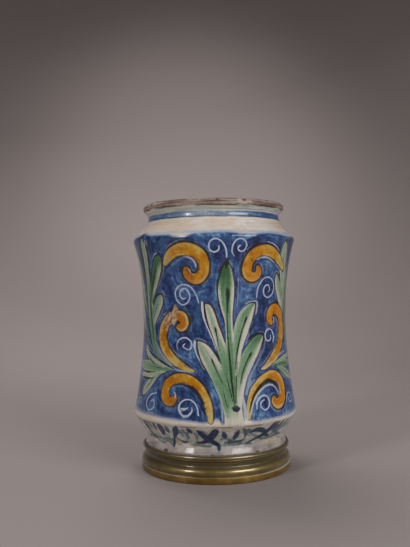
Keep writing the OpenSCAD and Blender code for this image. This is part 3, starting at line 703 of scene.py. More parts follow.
for to, sx, flip, jit in UNITS:
    kw = dict(to=to, sx=sx, flip=flip)
    for pts, shade, ol, orr in PALM:
        leaf.stroke(place(pts, jitter=0.8 * jit, g=gj, **kw), leafy(shade, ol, orr, 0.0, flip))
    for pts in PALM_INK:
        ink.stroke(place(pts, jitter=0.4 * jit, g=gj, **kw), 0.0)
    for pts in FINE_INK:
        fine.stroke(place(pts, jitter=0.4 * jit, g=gj, **kw), 0.0)
    for pts in BLUE_INK:
        ink.stroke(place(drawn_in(pts) if jit and abs(pts[-1][0] - 9) > 60 else pts, jitter=0.3 * jit, g=gj, **kw), 0.8)
    for pts, tail_first, wo, wi, edge in SCROLLS:
        p = place(pts, jitter=1.2 * jit, g=gj, **kw)
        if not tail_first:
            p = p[::-1]
        d = np.diff(p[:, :2] * [DEG, 1], axis=0)
        a = np.unwrap(np.arctan2(d[:, 1], d[:, 0]))
        turn = np.sign(a[-1] - a[0])

        def curl(u, l, t, z, turn=turn, wo=wo, wi=wi, edge=edge):
            s = l * turn          # the inner side of the curl is positive
            k = np.clip(s / 0.8 + 0.5, 0, 1)
            return s, 1.25 * (np.interp(u, *zip(*wo)) * (1 - k) + np.interp(u, *zip(*wi)) * k), np.full_like(u, edge)
        scroll.stroke(p, curl)
    for pts in SPIRALS if not jit else SPIRALS[:9]:
        pale.stroke(place(pts, jitter=1.0 * jit, g=gj, **kw), (gj.uniform(.85, 1.0), 0.0))
    for pts, amount, cream in RESERVES:
        pale.stroke(place(pts, jitter=0.3 * jit, g=gj, **kw), (amount, cream))
    for pts, g0, wa, wb in LOBES:
        right = pts[-1][0] > 9
        pts = drawn_in(pts) if jit else pts
        a, b = [(0, wa * .6), (.3, wa), (1, wa)], [(0, wb * .6), (.3, wb), (1, wb)]
        if right:
            a, b = b, a
        leaf.stroke(place(pts, jitter=0.5 * jit, g=gj, **kw),
                    leafy(lambda u, l, z, g0=g0: g0 + .3 * (.35 - u) * up(g0, .3, .6) - .2 * up(np.abs(l), .4, .9), a, b, 0.0, flip))
    for pts in LOBES_INK:
        fine.stroke(place(drawn_in(pts) if jit else pts, **kw), 0.0)
def stalked(shade):
    return lambda u, l, z: shade(u, l, z) + .44 * up(u, .50, .78)


for to, flip in PLANTS:
    for i, (pts, shade, ol, orr, tint) in enumerate(PLANT):
        off = -2.0 if i in (3, 4) and to == 69.5 else 0.0
        if i == 0 and to == 69.5:
            pts = STALK
        if i in OUTER and to == -61.0:
            pts, shade = OUTER[i], stalked(shade)
        leaf.stroke(place(pts, c0=0.0, to=to + off, flip=flip), leafy(shade, ol, orr, tint, flip))
    for i, pts in enumerate(PLANT_INK):
        if to != -61.0 and i in (3, 4):
            continue
        off = {-61.0: -11.0, 69.5: -2.0}.get(to, 0.0) if i in (5, 6) else 0.0
        (fine if i in (5, 6, 7) else ink).stroke(place(pts, c0=0.0, to=to + off, flip=flip), 0.0)

# blue strokes on the heel: crossing brush marks and dots, listed in front, repeated with changes behind
HEEL = [
    ([(-11.6, 40.8, 1.0), (-10.2, 39.2, 1.9), (-8.0, 36.4, 2.1), (-5.4, 34.2, 2.0), (-2.6, 32.2, 1.8), (.6, 30.0, 1.7), (2.6, 28.4, 1.2)], 1.0, .45),
    ([(.6, 41.6, 1.2), (-.6, 40.2, 2.4), (-2.6, 37.0, 2.5), (-5.2, 34.0, 2.0), (-8.0, 32.0, 1.3), (-11.0, 31.0, .9), (-14.6, 30.8, .5)], 1.0, .9),
    ([(1.8, 28.6, 1.2), (2.4, 26.4, 1.2), (2.2, 25.2, .5)], 1.0, .3), ([(5.2, 39.6, .9), (6.0, 37.2, 1.7), (6.6, 35.4, 1.1)], .85, .9),
    ([(15.3, 40.8, .8), (14.6, 38.0, 1.7), (13.6, 35.4, 1.5), (13.2, 33.8, .6)], .9, .7), ([(9.4, 33.6, .4), (10.6, 32.2, 1.2), (10.4, 30.6, .8)], .8, .0),
    ([(7.0, 31.0, .5), (11, 31.0, .9), (15, 31.6, 1.0), (19.4, 32.2, .6)], .85, .05), ([(18.6, 42.2, .7), (20.2, 39.8, 1.4), (21.2, 37.0, 1.0), (21.0, 34.6, .4)], .75, .05),
    ([(21.6, 33.6, .3), (19.4, 31.4, .6), (17.8, 29.4, .5)], .6, .05), ([(22.6, 41.4, .5), (24.0, 39.6, .9), (25.2, 37.8, .5)], .6, .2),
    ([(24.4, 39.0, .6), (27.0, 40.2, 1.3), (30.0, 40.4, 1.7), (33.4, 39.4, 1.7), (36.6, 37.8, 1.2)], .95, .5),
    ([(44.4, 44.2, .8), (42.4, 41.8, 2.0), (40.6, 39.2, 1.9), (36.6, 35.8, 1.5), (33.0, 33.8, 1.0), (29.6, 32.2, .8), (24.2, 29.2, .5)], 1.0, .5),
    ([(36.6, 35.8, .9), (40.0, 34.2, 1.0), (43.0, 33.2, .6)], .95, .4), ([(47.6, 43.6, .6), (46.0, 40.4, 1.3), (44.4, 37.4, .7)], .8, .3),
    ([(52.8, 44.6, .6), (51.0, 41.4, 1.5), (48.4, 37.6, 1.2), (45.6, 34.6, .5)], .75, .2), ([(58.6, 44.0, .4), (56.6, 40.8, 1.2), (53.4, 37.2, .9), (50, 34.4, .4)], .6, .1),
    ([(64, 43.6, .4), (62, 40.4, 1.0), (58.4, 37.0, .6)], .6, .4), ([(31.0, 34.8, .3), (33.6, 33.0, .5), (38, 31.4, .5), (43, 30.8, .3)], .6, .1),
    ([(-18.6, 42.0, .9), (-17.8, 41.2, 1.5), (-16.8, 40.2, .9)], .85, .6), ([(-20.2, 38.4, .8), (-20.2, 34.8, .8)], .25, .2),
    ([(-26.0, 41.8, .4), (-24.8, 39.2, .7), (-24.0, 36.6, .4)], .45, .0), ([(-22.6, 42.0, .3), (-22.0, 39.4, .5)], .4, .1),
    ([(-27.0, 43.0, 1.2), (-28.0, 40.8, 2.2), (-29.2, 38.4, 1.9), (-30.8, 35.8, 1.0), (-32.2, 33.2, .6), (-33.6, 30.2, .7), (-34.6, 27.8, 1.1), (-34.6, 26.2, .6)], .95, .25),
    ([(-30.6, 34.4, .1), (-27.4, 32.2, .25), (-24.4, 30.5, .8), (-21.6, 31.4, .3)], .8, .4), ([(-35.4, 42.6, .6), (-35.2, 40.5, 1.5), (-35.4, 38.3, .8)], .65, .0),
    ([(-41.8, 43.2, 1.0), (-41.0, 41.2, 2.5), (-41.0, 38.6, 2.6), (-41.8, 36.0, 1.4)], .95, .75), ([(-46.4, 43.6, .6), (-47.0, 41.2, 1.5), (-47.4, 38.6, .8)], .6, .2),
    ([(-58.8, 41.8, 2.2), (-57.8, 40.4, 3.3), (-57.0, 39.0, 2.4)], .85, .55), ([(-52.0, 43.4, .4), (-51.6, 41.0, 1.0), (-51.8, 38.8, .5)], .45, .1),
    ([(-68.0, 29.0, .2), (-62.0, 30.6, .4), (-56.2, 31.5, .9), (-49.5, 31.6, .3), (-45.5, 31.4, .1)], .7, .3), ([(-60.4, 34.6, .4), (-58.0, 33.0, .9), (-56.4, 31.6, .5)], .8, .4),
    ([(-50.5, 31.4, .05), (-43.5, 30.0, .2), (-37.8, 28.2, .2), (-34.8, 27.0, .2)], .6, .3), ([(-43, 31.9, .05), (-38, 31.2, .2), (-34.2, 30.0, .05)], .45, .2),
    ([(-66, 33.6, .05), (-58, 30.0, .2), (-50, 28.2, .25), (-43, 27.4, .1)], .2, .1), ([(-60, 36.0, .1), (-53, 34.0, .3), (-45, 33.4, .1)], .25, .2),
    ([(-71.0, 42.4, .8), (-70.4, 40.6, 2.0), (-70.0, 38.8, 1.2)], .6, .6), ([(-81, 42.8, .6), (-80, 40, 2.0), (-80.4, 37.4, 1.0)], .8, .4), ([(-14.6, 38.6, .3), (-13.4, 36, .5), (-13.6, 33.4, .3)], .3, .0),
    ([(-17, 29.0, .25), (-11, 28.4, .4), (-4, 28.0, .3)], .4, .1), ([(6, 29.0, .25), (13, 28.6, .4), (21, 29.2, .35), (28, 28.4, .25)], .5, .0),
    ([(44, 31.6, .3), (52, 32.4, .5), (60, 32.0, .3)], .5, .1), ([(3.4, 33.8, .4), (5.2, 34.6, .6), (8.2, 34.6, .3)], .45, .0),
    ([(27, 36.4, .25), (30, 35.0, .45), (34, 34.0, .3)], .45, .1), ([(46.4, 36.6, .3), (50, 34.6, .6), (55, 33.2, .4)], .5, .7), ([(-8, 41.4, .3), (-6.4, 39.6, .5)], .35, .3),
]
for pts, dark, hue in HEEL:
    q = np.array(pts, float)
    q[:, 2] = q[:, 2] * 1.1 + 0.1
    heel.stroke(q, (min(1.0, dark * 0.8 + 0.22), hue))
gh = np.random.default_rng(5)
for c in np.arange(80.0, 290.0, 21.0):
    c = c + gh.uniform(-2, 2)
    side = 1 if gh.uniform() > .4 else -1
    for pts, dark, hue in HEEL[:8] if side > 0 else HEEL[8:15]:
        q = np.array(pts, float)
        q[:, 0] = c + (q[:, 0] - (3 if side > 0 else 40)) * gh.uniform(.75, .95)
        q[:, 1] += gh.uniform(-.8, .8)
        q[:, 2] *= gh.uniform(.8, 1.1)
        heel.stroke(q, (dark, hue))

# edge of the blue ground, top and bottom, by degrees round the jar
top_t = [-180, -150, -120, -95, -75, -66, -58, -51, -44, -31, -28.5, -25, -18.5, -16, -10, 0, 10, 15, 18, 28, 32, 40, 50, 58, 66, 80, 100, 130, 155, 180]
top_z = [189.6, 190.4, 189.0, 190.6, 189.6, 190.2, 192.8, 190.6, 190.1, 189.6, 188.4, 187.5, 187.6, 189.0, 190.2, 190.8, 190.8, 190.0, 189.2, 189.0,
         190.0, 190.7, 190.4, 189.2, 188.8, 190.0, 189.2, 190.6, 189.4, 189.6]
bot_t = [-180, -140, -100, -70, -50, -30, -20, -8, -4, -2, 0.5, 2.2, 3.6, 4.6, 6.0, 7, 17, 19.5, 21, 24, 30, 40, 60, 90, 130, 160, 180]
bot_z = [49.2, 50.2, 49.0, 50.6, 50.4, 49.9, 49.2, 48.3, 48.8, 49.6, 51.2, 50.4, 47.8, 46.9, 48.0, 48.6, 48.6, 50.2, 49.8, 48.4, 47.9, 48.4, 48.8, 49.6, 48.6, 49.8, 49.2]
ground = np.maximum(ZZ - np.interp(TH, top_t, top_z), np.interp(TH, bot_t, bot_z) - ZZ)

# broad lights and darks of the blue wash: degrees, height, spread in degrees and mm, amount (dark is negative)
WASH = [(-42, 186, 16, 5, -.12), (52, 184, 12, 6, -.2), (-17, 170, 6, 6, -.35), (44, 148, 10, 9, -.3), (36, 124, 5, 12, -.2), (-17, 53, 10, 4, -.45),
        (25, 145, 9, 6, .5), (-2, 156, 3, 9, .25), (-33, 160, 4, 9, .15), (36, 51, 12, 3, .3), (-53, 56, 9, 5, .3), (25, 82, 4, 12, .3), (-1, 68, 3, 14, .3),
        (-10, 120, 4, 12, .2), (-24, 107, 5, 5, -.25), (-24, 98, 6, 4, .3), (-48, 98, 6, 6, .45), (42, 102, 6, 8, -.2), (5, 178, 6, 6, -.1), (58, 52, 9, 4, -.1),
        (-36, 113, 3, 6, .1), (28, 60, 4, 8, .15), (-50, 170, 6, 8, -.2), (44, 164, 7, 4, .3), (-62, 110, 8, 8, -.25), (47, 121, 4, 5, .15), (-22, 143, 6, 5, .05),
        (36, 59, 3, 4, -.35), (5, 189, 16, 2.4, .35), (40, 189.5, 10, 2, .3), (12, 171, 3, 5, -.15), (-12, 133, 6, 7, -.2), (33, 116, 4, 4, -.2), (-30, 112, 4, 5, .1)]
wash = np.zeros(NV)
for t, z, st, sz, a in WASH:
    for to, sx, flip, jit in UNITS:
        tt = to + (t - 9.0) * sx * (-1 if flip else 1)
        dt = (TH - tt + 180) % 360 - 180
        wash += a * np.exp(-0.5 * ((dt / st) ** 2 + ((ZZ - z) / sz) ** 2))

# worn patch on the middle left scroll and a few more rubbed places
worn = np.zeros(NV)
for t, z, st, sz, a in [(-34, 125.5, 4.2, 4.0, 1.0), (-30.2, 131.5, 1.6, 3.6, 1.0), (-30.5, 127, 2.6, 2.6, .95), (-38.5, 121.5, 2.6, 4.5, .85), (-43, 114, 1.4, 4.0, .5),
                        (128, 128, 4, 3, .8), (-140, 70, 4, 3, .7)]:
    dt = (TH - t + 180) % 360 - 180
    worn = np.maximum(worn, a * np.exp(-0.5 * ((dt / st) ** 2 + ((ZZ - z) / sz) ** 2)))


def give(name, a, b, c):
    at = jar.data.attributes.new(name, "FLOAT_VECTOR", "POINT")
    at.data.foreach_set("vector", np.column_stack([a, b, c]).astype(np.float32).ravel())


near = np.clip(np.minimum(leaf.sdf, scroll.sdf), -2, 14)
ink_s, ink_w = ink.thin()
fine_s, fine_w = fine.thin()
pale_s, pale_w = pale.thin()
heel_s, heel_w = heel.thin()
zone = np.where(jsec == 6, 1.0, np.where(jsec <= 1, 2.0, np.where(jsec == 5, np.clip((TOP - ZZ - 1.0) / 4.0, 0, 1), 0.0)))
give("leaf", leaf.sdf, leaf.lat, leaf.ex[:, 0])
give("leafx", leaf.ex[:, 1], leaf.ex[:, 2], leaf.ex[:, 3])
give("scroll", scroll.sdf, scroll.ex[:, 0], scroll.along)
give("scrollx", scroll.ex[:, 1], scroll.ex[:, 2], TH)
give("ink", ink_s, ink_w, ink.ex[:, 0])
give("fine", fine_s, fine_w, fine.along)
give("pale", pale_s, pale_w, pale.ex[:, 0])
give("heel", heel_s, heel_w, pale.ex[:, 1])
give("heelx", heel.ex[:, 0], heel.ex[:, 1], TH)
give("ground", ground, near, wash)
give("wear", worn, chip_mask, zone)

# cylinder map for the surface: outside on top, inside wall and the two discs below
uvl = jar.data.uv_layers.new(name="OFBake")
nl = len(jar.data.loops)
lv = np.empty(nl, np.int32)
jar.data.loops.foreach_get("vertex_index", lv)
starts = np.empty(len(jar.data.polygons), np.int32)
totals = np.empty(len(jar.data.polygons), np.int32)
jar.data.polygons.foreach_get("loop_start", starts)
jar.data.polygons.foreach_get("loop_total", totals)
face_of = np.repeat(np.arange(len(starts)), totals)
path = np.vstack([out_foot, out_low[1:], out_body[1:], out_top[1:], in_lip[1:], in_wall[1:]])
plen = np.concatenate([[0], np.cumsum(np.hypot(*np.diff(path, axis=0).T))])
n_out = len(out_foot) + len(out_low) + len(out_body) + len(out_top) - 4
crest = plen[n_out]
# arc length of each vertex along the profile, from the nearest profile point of its own side
side_in = (jsec >= 5)
arc = np.zeros(NV)
for flag, sl in ((False, slice(0, n_out + 1)), (True, slice(n_out, None))):
    idx = np.where((side_in == flag) & (jsec > 0))[0]
    pr, pa = path[sl], plen[sl]
    for part in np.array_split(idx, max(1, len(idx) // 4000)):
        d = (jv[part, 0][:, None] - pr[None, :, 0]) ** 2 + (jv[part, 2][:, None] - pr[None, :, 1]) ** 2
        arc[part] = pa[np.argmin(d, 1)]
lt = TH[lv]
fmin = np.full(len(starts), 1e9)
np.minimum.at(fmin, face_of, lt)
fmax = np.full(len(starts), -1e9)
np.maximum.at(fmax, face_of, lt)
wrap = (fmax - fmin)[face_of] > 180
lt = np.where(wrap & (lt < 0), lt + 360, lt)
fsec_max = np.zeros(len(starts))
np.maximum.at(fsec_max, face_of, jsec[lv].astype(float))
fz = np.zeros(len(starts))
np.add.at(fz, face_of, ZZ[lv])
fz = (fz / totals)[face_of]
fr = np.zeros(len(starts))
np.add.at(fr, face_of, RR[lv])
fr = (fr / totals)[face_of]
sec_f = fsec_max[face_of]
u = (lt + 180.0) / 360.0
la = arc[lv]
outer = sec_f <= 4
disc_in = (sec_f >= 6) & (fz < in_floor + 1.2) & (fr < 41)
disc_un = (sec_f <= 0) | ((sec_f <= 1) & (fz < FOOT_Z + 0.05))
U = np.where(outer, 0.003 + 0.994 * np.minimum(u, 1.05) / 1.05, 0.003 + 0.60 * np.minimum(u, 1.05) / 1.05)
V = np.where(outer, 0.425 + 0.572 * la / crest, 0.01 + 0.40 * (la - crest) / (plen[-1] - crest))
tr = np.radians(TH[lv])
for sel, cu, cv, sc in ((disc_in, 0.72, 0.30, 0.10 / 45.0), (disc_un, 0.88, 0.12, 0.11 / 56.0)):
    U = np.where(sel, cu + sc * RR[lv] * np.sin(tr), U)
    V = np.where(sel, cv + sc * RR[lv] * np.cos(tr), V)
uvl.data.foreach_set("uv", np.column_stack([U, V]).astype(np.float32).ravel())

# ---------------------------------------------------------------- painted glaze
g = Graph("glaze_painted")
P = g.pos()
px, py, pz = g.xyz(P)
z_mm = g.mul(pz, 1000.0)
L = g.xyz(g.attr("leaf").outputs["Vector"])
LX = g.xyz(g.attr("leafx").outputs["Vector"])
S = g.xyz(g.attr("scroll").outputs["Vector"])
SX = g.xyz(g.attr("scrollx").outputs["Vector"])
I = g.xyz(g.attr("ink").outputs["Vector"])
N = g.xyz(g.attr("fine").outputs["Vector"])
W = g.xyz(g.attr("pale").outputs["Vector"])
H = g.xyz(g.attr("heel").outputs["Vector"])
G = g.xyz(g.attr("ground").outputs["Vector"])
X = g.xyz(g.attr("wear").outputs["Vector"])

n_big = g.noise(P, 22.0, 3.0, 0.55)          # 45 mm
n_mid = g.noise(P, 110.0, 3.0, 0.55)         # 9 mm
n_fin = g.noise(P, 420.0, 3.0, 0.6)          # 2.4 mm
n_tiny = g.noise(P, 1500.0, 2.0, 0.6)        # 0.7 mm
patchy = g.noise(P, 75.0, 2.0, 0.5)
hair = g.noise(g.vec("MULTIPLY", P, (1.0, 1.0, 6.0)), 90.0, 3.0, 0.6)       # streaks that run round, as on a turned pot
wob = g.add(g.mul(g.sub(n_mid, 0.5), 0.9), g.mul(g.sub(n_fin, 0.5), 0.9))   # mm, uneven brush edges

# tin-white glaze, warmer where thin, with streaks left by the wheel
white = g.ramp(g.add(g.mul(n_big, 0.35), g.mul(hair, 0.45), g.mul(n_mid, 0.20)),
               [(0.32, (0.48, 0.385, 0.290)), (0.43, (0.58, 0.490, 0.395)), (0.51, (0.61, 0.560, 0.500)), (0.62, (0.68, 0.655, 0.63))])
# blue wash: brush strokes that run round the motifs, darker where they pile up
streak = g.noise(P, 60.0, 2.0, 0.5, w=g.mul(G[1], 0.17 / 60.0))
streak2 = g.noise(P, 150.0, 2.0, 0.55, w=g.mul(G[1], 0.60 / 150.0))
dabs = g.noise(g.vec("MULTIPLY", P, (1.0, 1.0, 0.55)), 135.0, 3.0, 0.6, distort=0.5)
brush = g.noise(g.vec("MULTIPLY", P, (1.0, 1.0, 0.20)), 210.0, 3.0, 0.6)       # upright strokes
tone = g.add(0.40, g.mul(g.sub(streak, 0.5), 0.95), g.mul(g.sub(streak2, 0.5), 0.90), g.mul(g.sub(dabs, 0.5), 1.0), g.mul(g.sub(brush, 0.5), 0.55),
             g.mul(g.sub(n_fin, 0.5), 0.80), g.mul(G[2], 0.52))
tone = g.add(g.mul(g.sub(tone, 0.42), 1.15), 0.42, g.mul(g.band(z_mm, 134.0, 160.0, 8.0), -0.060), g.mul(g.map(z_mm, 118.0, 92.0), 0.050))
blue = g.ramp(tone, [(0.04, (0.011, 0.022, 0.070)), (0.22, (0.016, 0.037, 0.116)), (0.43, (0.029, 0.070, 0.204)),
                     (0.60, (0.049, 0.117, 0.270)), (0.79, (0.106, 0.208, 0.355)), (0.96, (0.22, 0.335, 0.47))])
violet = g.map(g.noise(P, 150.0, 2.0, 0.5), 0.55, 0.68)
blue = g.mix(g.mul(violet, 0.38), blue, (0.054, 0.054, 0.190))
teal = g.map(g.noise(P, 95.0, 2.0, 0.5), 0.54, 0.68)
blue = g.mix(g.mul(teal, 0.35), blue, (0.042, 0.122, 0.205))
gd = g.add(G[0], g.mul(wob, 1.1))
thin_blue = g.mix(0.55, blue, (0.34, 0.39, 0.48))
low = g.mul(g.map(z_mm, 78.0, 62.0), g.map(g.m("ABSOLUTE", g.sub(SX[2], 5.0)), 40.0, 54.0))
col = g.mix(g.map(gd, -0.2, 1.9, 1.0, 0.0), white, thin_blue)
col = g.mix(g.mix(low, g.map(gd, -1.1, 0.2, 1.0, 0.0), g.map(g.add(gd, g.mul(g.sub(patchy, 0.5), 3.0)), -3.0, 0.0, 1.0, 0.0)), col, blue)
on_ground = g.map(gd, -0.8, 0.6, 1.0, 0.0)

# thin places beside the motifs, where the blue was kept off
ls = g.add(L[0], g.mul(wob, 0.50))
ss = g.add(S[0], g.mul(wob, 0.50))
halo_l = g.mul(g.band(ls, 0.9, 2.0, 0.45), g.map(patchy, 0.50, 0.64))
halo_s = g.mul(g.band(ss, 1.0, 2.2, 0.45), g.map(patchy, 0.54, 0.66))
halo = g.m("MAXIMUM", halo_l, halo_s)
col = g.mix(g.mul(halo, on_ground, 0.50), col, (0.30, 0.35, 0.44))
drag = g.mul(g.band(G[1], 1.0, 3.6, 0.9), g.map(streak2, 0.50, 0.66), on_ground)
col = g.mix(g.mul(drag, 0.55), col, (0.13, 0.20, 0.34))

# leaves: copper green washed out to a pale edge
streak_l = g.noise(g.comb(g.mul(L[1], 1.7), g.mul(z_mm, 0.035), g.mul(px, 12.0)), 1.6, 3.0, 0.6)
gr = g.add(L[2], g.mul(g.sub(streak_l, 0.5), 0.50), g.mul(g.sub(n_fin, 0.5), 0.28), g.mul(g.sub(n_mid, 0.5), 0.16))
green = g.ramp(gr, [(0.00, (0.55, 0.52, 0.44)), (0.16, (0.45, 0.46, 0.375)), (0.34, (0.28, 0.365, 0.255)), (0.54, (0.160, 0.285, 0.168)),
                    (0.76, (0.078, 0.172, 0.084)), (0.96, (0.038, 0.096, 0.042))])
green = g.mix(g.mul(LX[2], 0.75), green, g.mix(n_mid, (0.085, 0.155, 0.185), (0.22, 0.29, 0.33)))
rib = g.mul(g.map(g.sub(g.m("ABSOLUTE", I[0]), I[1]), 0.0, 2.8, 1.0, 0.0), g.map(z_mm, 108.0, 66.0, 0.16, 0.62), g.inv(I[2]), g.map(streak_l, 0.34, 0.60, 0.45, 1.0))
green = g.mix(rib, green, (0.052, 0.118, 0.052))
leaf_m = g.map(ls, -0.15, 0.25, 1.0, 0.0)
col = g.mix(leaf_m, col, green)
# scrolls: ochre, yellower to the tail, paler on the outer edge, burnt at the head
och_n = g.add(g.mul(n_mid, 0.78), g.mul(streak2, 0.52), g.mul(n_fin, 0.48), -0.365)
tail = g.mul(g.map(S[2], 0.72, 0.12), g.map(SX[1], 0.35, 0.80, 0.35, 1.0))
och = g.ramp(g.add(och_n, g.mul(S[2], 0.20), g.mul(S[1], 0.05), g.mul(tail, -0.11), -0.15),
             [(0.22, (0.52, 0.38, 0.120)), (0.35, (0.50, 0.275, 0.022)), (0.48, (0.455, 0.188, 0.004)), (0.62, (0.385, 0.130, 0.003)), (0.78, (0.235, 0.070, 0.003))])
# painted light: scrolls on the jar's right side, from 16 degrees round, turn brighter orange as if lit by the right
# lamp
och = g.mix(g.mul(g.map(SX[2], 16.0, 42.0), g.map(S[2], 0.20, 0.62), 0.55), och, g.mix(n_mid, (0.66, 0.265, 0.004), (0.58, 0.195, 0.002)))
red = g.mul(g.map(g.noise(P, 170.0, 3.0, 0.6), 0.50, 0.64), g.map(S[2], 0.25, 0.85))
och = g.mix(g.mul(red, 0.60), och, (0.360, 0.100, 0.004))
spots = g.mul(g.map(g.noise(P, 330.0, 2.0, 0.6), 0.57, 0.70), g.map(n_mid, 0.42, 0.58), g.map(S[2], 0.1, 0.7, 0.4, 1.0))
och = g.mix(g.mul(spots, 0.72), och, (0.13, 0.045, 0.006))
dots = g.mul(g.map(g.noise(P, 760.0, 2.0, 0.6), 0.58, 0.68), g.map(n_mid, 0.42, 0.58), g.map(S[2], 0.2, 0.9, 0.35, 1.0))
och = g.mix(g.mul(dots, 0.75), och, (0.085, 0.036, 0.008))
och = g.mix(g.mul(g.map(S[2], 0.20, 0.02), 0.68), och, (0.46, 0.385, 0.165))
edge_p = g.mul(g.band(ss, -3.4, -0.1, 1.5), g.map(S[1], -0.10, -0.80), g.map(g.add(patchy, g.mul(SX[1], 0.26)), 0.54, 0.74))
och = g.mix(g.mul(edge_p, SX[1], 1.05), och, (0.57, 0.43, 0.19))
edge_i = g.mul(g.band(ss, -1.4, -0.1, 0.5), g.map(S[1], 0.3, 0.8), g.map(patchy, 0.50, 0.62))
och = g.mix(g.mul(edge_i, 0.70), och, (0.54, 0.44, 0.20))
edge_d = g.mul(g.band(ss, -1.7, 0.0, 0.7), g.map(S[1], 0.15, 0.7), g.map(patchy, 0.50, 0.40), g.map(n_fin, 0.40, 0.56))
och = g.mix(g.mul(edge_d, 0.75), och, (0.115, 0.075, 0.016))
scroll_m = g.map(ss, -0.15, 0.25, 1.0, 0.0)
col = g.mix(scroll_m, col, och)

# dark outlines, heavier on one side of each stroke
pres = g.mul(g.map(n_mid, 0.32, 0.68, 0.65, 1.30), g.map(n_fin, 0.34, 0.60, 0.62, 1.15))
lw = g.mul(LX[0], pres)
out_l = g.mul(g.map(g.add(ls, 0.20), -0.22, 0.12), g.inv(g.map(g.sub(ls, lw), -0.18, 0.20)), g.map(LX[0], 0.06, 0.30))
sw = g.mul(SX[0], pres)
out_s = g.mul(g.map(g.add(ss, 0.25), -0.25, 0.15), g.inv(g.map(g.sub(ss, sw), -0.18, 0.22)))
ink_col = g.ramp(n_fin, [(0.30, (0.008, 0.009, 0.014)), (0.52, (0.017, 0.016, 0.018)), (0.72, (0.048, 0.034, 0.026))])
ink_l = g.mix(g.mul(g.map(LX[1], 0.3, 1.0), 0.55), ink_col, (0.105, 0.050, 0.034))
col = g.mix(g.mul(out_l, g.inv(scroll_m), 0.93), col, ink_l)
col = g.mix(g.mul(out_s, g.map(n_mid, 0.36, 0.56, 0.80, 1.0), 0.94), col, g.mix(g.map(patchy, 0.48, 0.60), ink_col, (0.040, 0.031, 0.014)))
# bare glaze and pale spirals
pale_m = g.map(g.sub(g.m("ABSOLUTE", W[0]), g.add(W[1], g.mul(g.sub(n_fin, 0.5), 0.50))), -0.20, 0.30, 1.0, 0.0)
pale_col = g.mix(H[2], (0.52, 0.57, 0.70), (0.62, 0.58, 0.52))
col = g.mix(g.mul(pale_m, W[2], g.map(n_mid, 0.3, 0.6, 0.70, 1.0), g.inv(g.mul(leaf_m, 0.85)), 0.95), col, pale_col)
# ribs and other dark lines
ink_m = g.map(g.sub(g.m("ABSOLUTE", I[0]), g.add(I[1], g.mul(g.sub(n_fin, 0.5), 0.40))), -0.24, 0.22, 1.0, 0.0)
fine_m = g.map(g.sub(g.m("ABSOLUTE", N[0]), g.add(N[1], g.mul(g.sub(n_fin, 0.5), 0.40))), -0.24, 0.22, 1.0, 0.0)
col = g.mix(g.mul(fine_m, g.map(n_mid, 0.30, 0.52, 0.75, 0.95)), col, (0.014, 0.026, 0.013))
col = g.mix(g.mul(ink_m, g.map(n_mid, 0.30, 0.52, 0.85, 1.0), 0.97), col, g.mix(I[2], (0.012, 0.022, 0.011), g.mix(g.mul(g.map(z_mm, 57.4, 59.6), g.map(z_mm, 62.0, 60.6)), (0.010, 0.017, 0.046), (0.050, 0.072, 0.090))))
# rubbed patch: the colour is gone, leaving brown streaks
slant = g.comb(g.mul(g.sub(g.mul(px, 0.8), g.mul(pz, 0.6)), 1.0), g.mul(py, 1.0), g.mul(g.add(g.mul(px, 0.6), g.mul(pz, 0.8)), 0.22))
rub_n = g.noise(slant, 420.0, 3.0, 0.6, distort=0.3)
rub = g.map(g.mul(g.add(X[0], g.mul(g.sub(rub_n, 0.5), 1.3)), g.map(X[0], 0.10, 0.35)), 0.40, 0.62)
col = g.mix(g.mul(rub, 0.95), col, g.ramp(g.add(g.mul(rub_n, 0.75), g.mul(n_fin, 0.25)), [(0.36, (0.070, 0.030, 0.014)), (0.45, (0.19, 0.085, 0.035)), (0.52, (0.36, 0.20, 0.095)), (0.60, (0.50, 0.36, 0.23)), (0.70, (0.60, 0.50, 0.40))]))

# heel: thin grey-white glaze with green and ochre tints, then blue strokes
heel_z = g.map(g.add(z_mm, g.mul(wob, 0.8)), 44.2, 46.4, 1.0, 0.0)
tint = g.noise(P, 55.0, 3.0, 0.6)
heel_col = g.ramp(g.add(g.mul(tint, 0.75), g.mul(n_mid, 0.25)), [(0.30, (0.225, 0.270, 0.270)), (0.39, (0.40, 0.40, 0.355)), (0.47, (0.53, 0.465, 0.395)), (0.55, (0.39, 0.425, 0.355)), (0.62, (0.54, 0.55, 0.53)), (0.71, (0.48, 0.37, 0.215))])
cool = g.map(g.noise(P, 120.0, 2.0, 0.5), 0.50, 0.62)
heel_col = g.mix(g.mul(cool, 0.45), heel_col, (0.335, 0.425, 0.430))
heel_col = g.mix(g.mul(g.map(g.noise(g.vec("MULTIPLY", P, (1.0, 1.0, 1.8)), 130.0, 3.0, 0.6), 0.49, 0.60), 0.75), heel_col, (0.66, 0.655, 0.64))
heel_col = g.mix(g.mul(g.map(z_mm, 41.0, 44.5), 0.70), heel_col, (0.46, 0.385, 0.315))
foot_col = g.ramp(g.add(g.mul(tint, 0.6), g.mul(hair, 0.4)), [(0.32, (0.17, 0.158, 0.155)), (0.44, (0.27, 0.245, 0.235)), (0.54, (0.40, 0.355, 0.330)), (0.64, (0.47, 0.43, 0.41)), (0.74, (0.32, 0.265, 0.205))])
heel_col = g.mix(g.map(g.add(z_mm, g.mul(wob, 1.0)), 25.4, 28.2, 1.0, 0.0), heel_col, foot_col)
ochre_p = g.mul(g.band(g.add(z_mm, g.mul(wob, 2.6)), 26.8, 30.6, 1.6), g.map(g.noise(P, 85.0, 4.0, 0.65), 0.50, 0.62))
heel_col = g.mix(g.mul(ochre_p, 0.58), heel_col, (0.52, 0.39, 0.18))
col = g.mix(heel_z, col, heel_col)
below = g.map(z_mm, 45.6, 44.6, 0.0, 1.0)
HX = g.xyz(g.attr("heelx").outputs["Vector"])
hd = g.sub(g.m("ABSOLUTE", H[0]), g.add(H[1], g.mul(g.sub(n_fin, 0.5), 1.2), g.mul(g.sub(n_mid, 0.5), 0.8)))
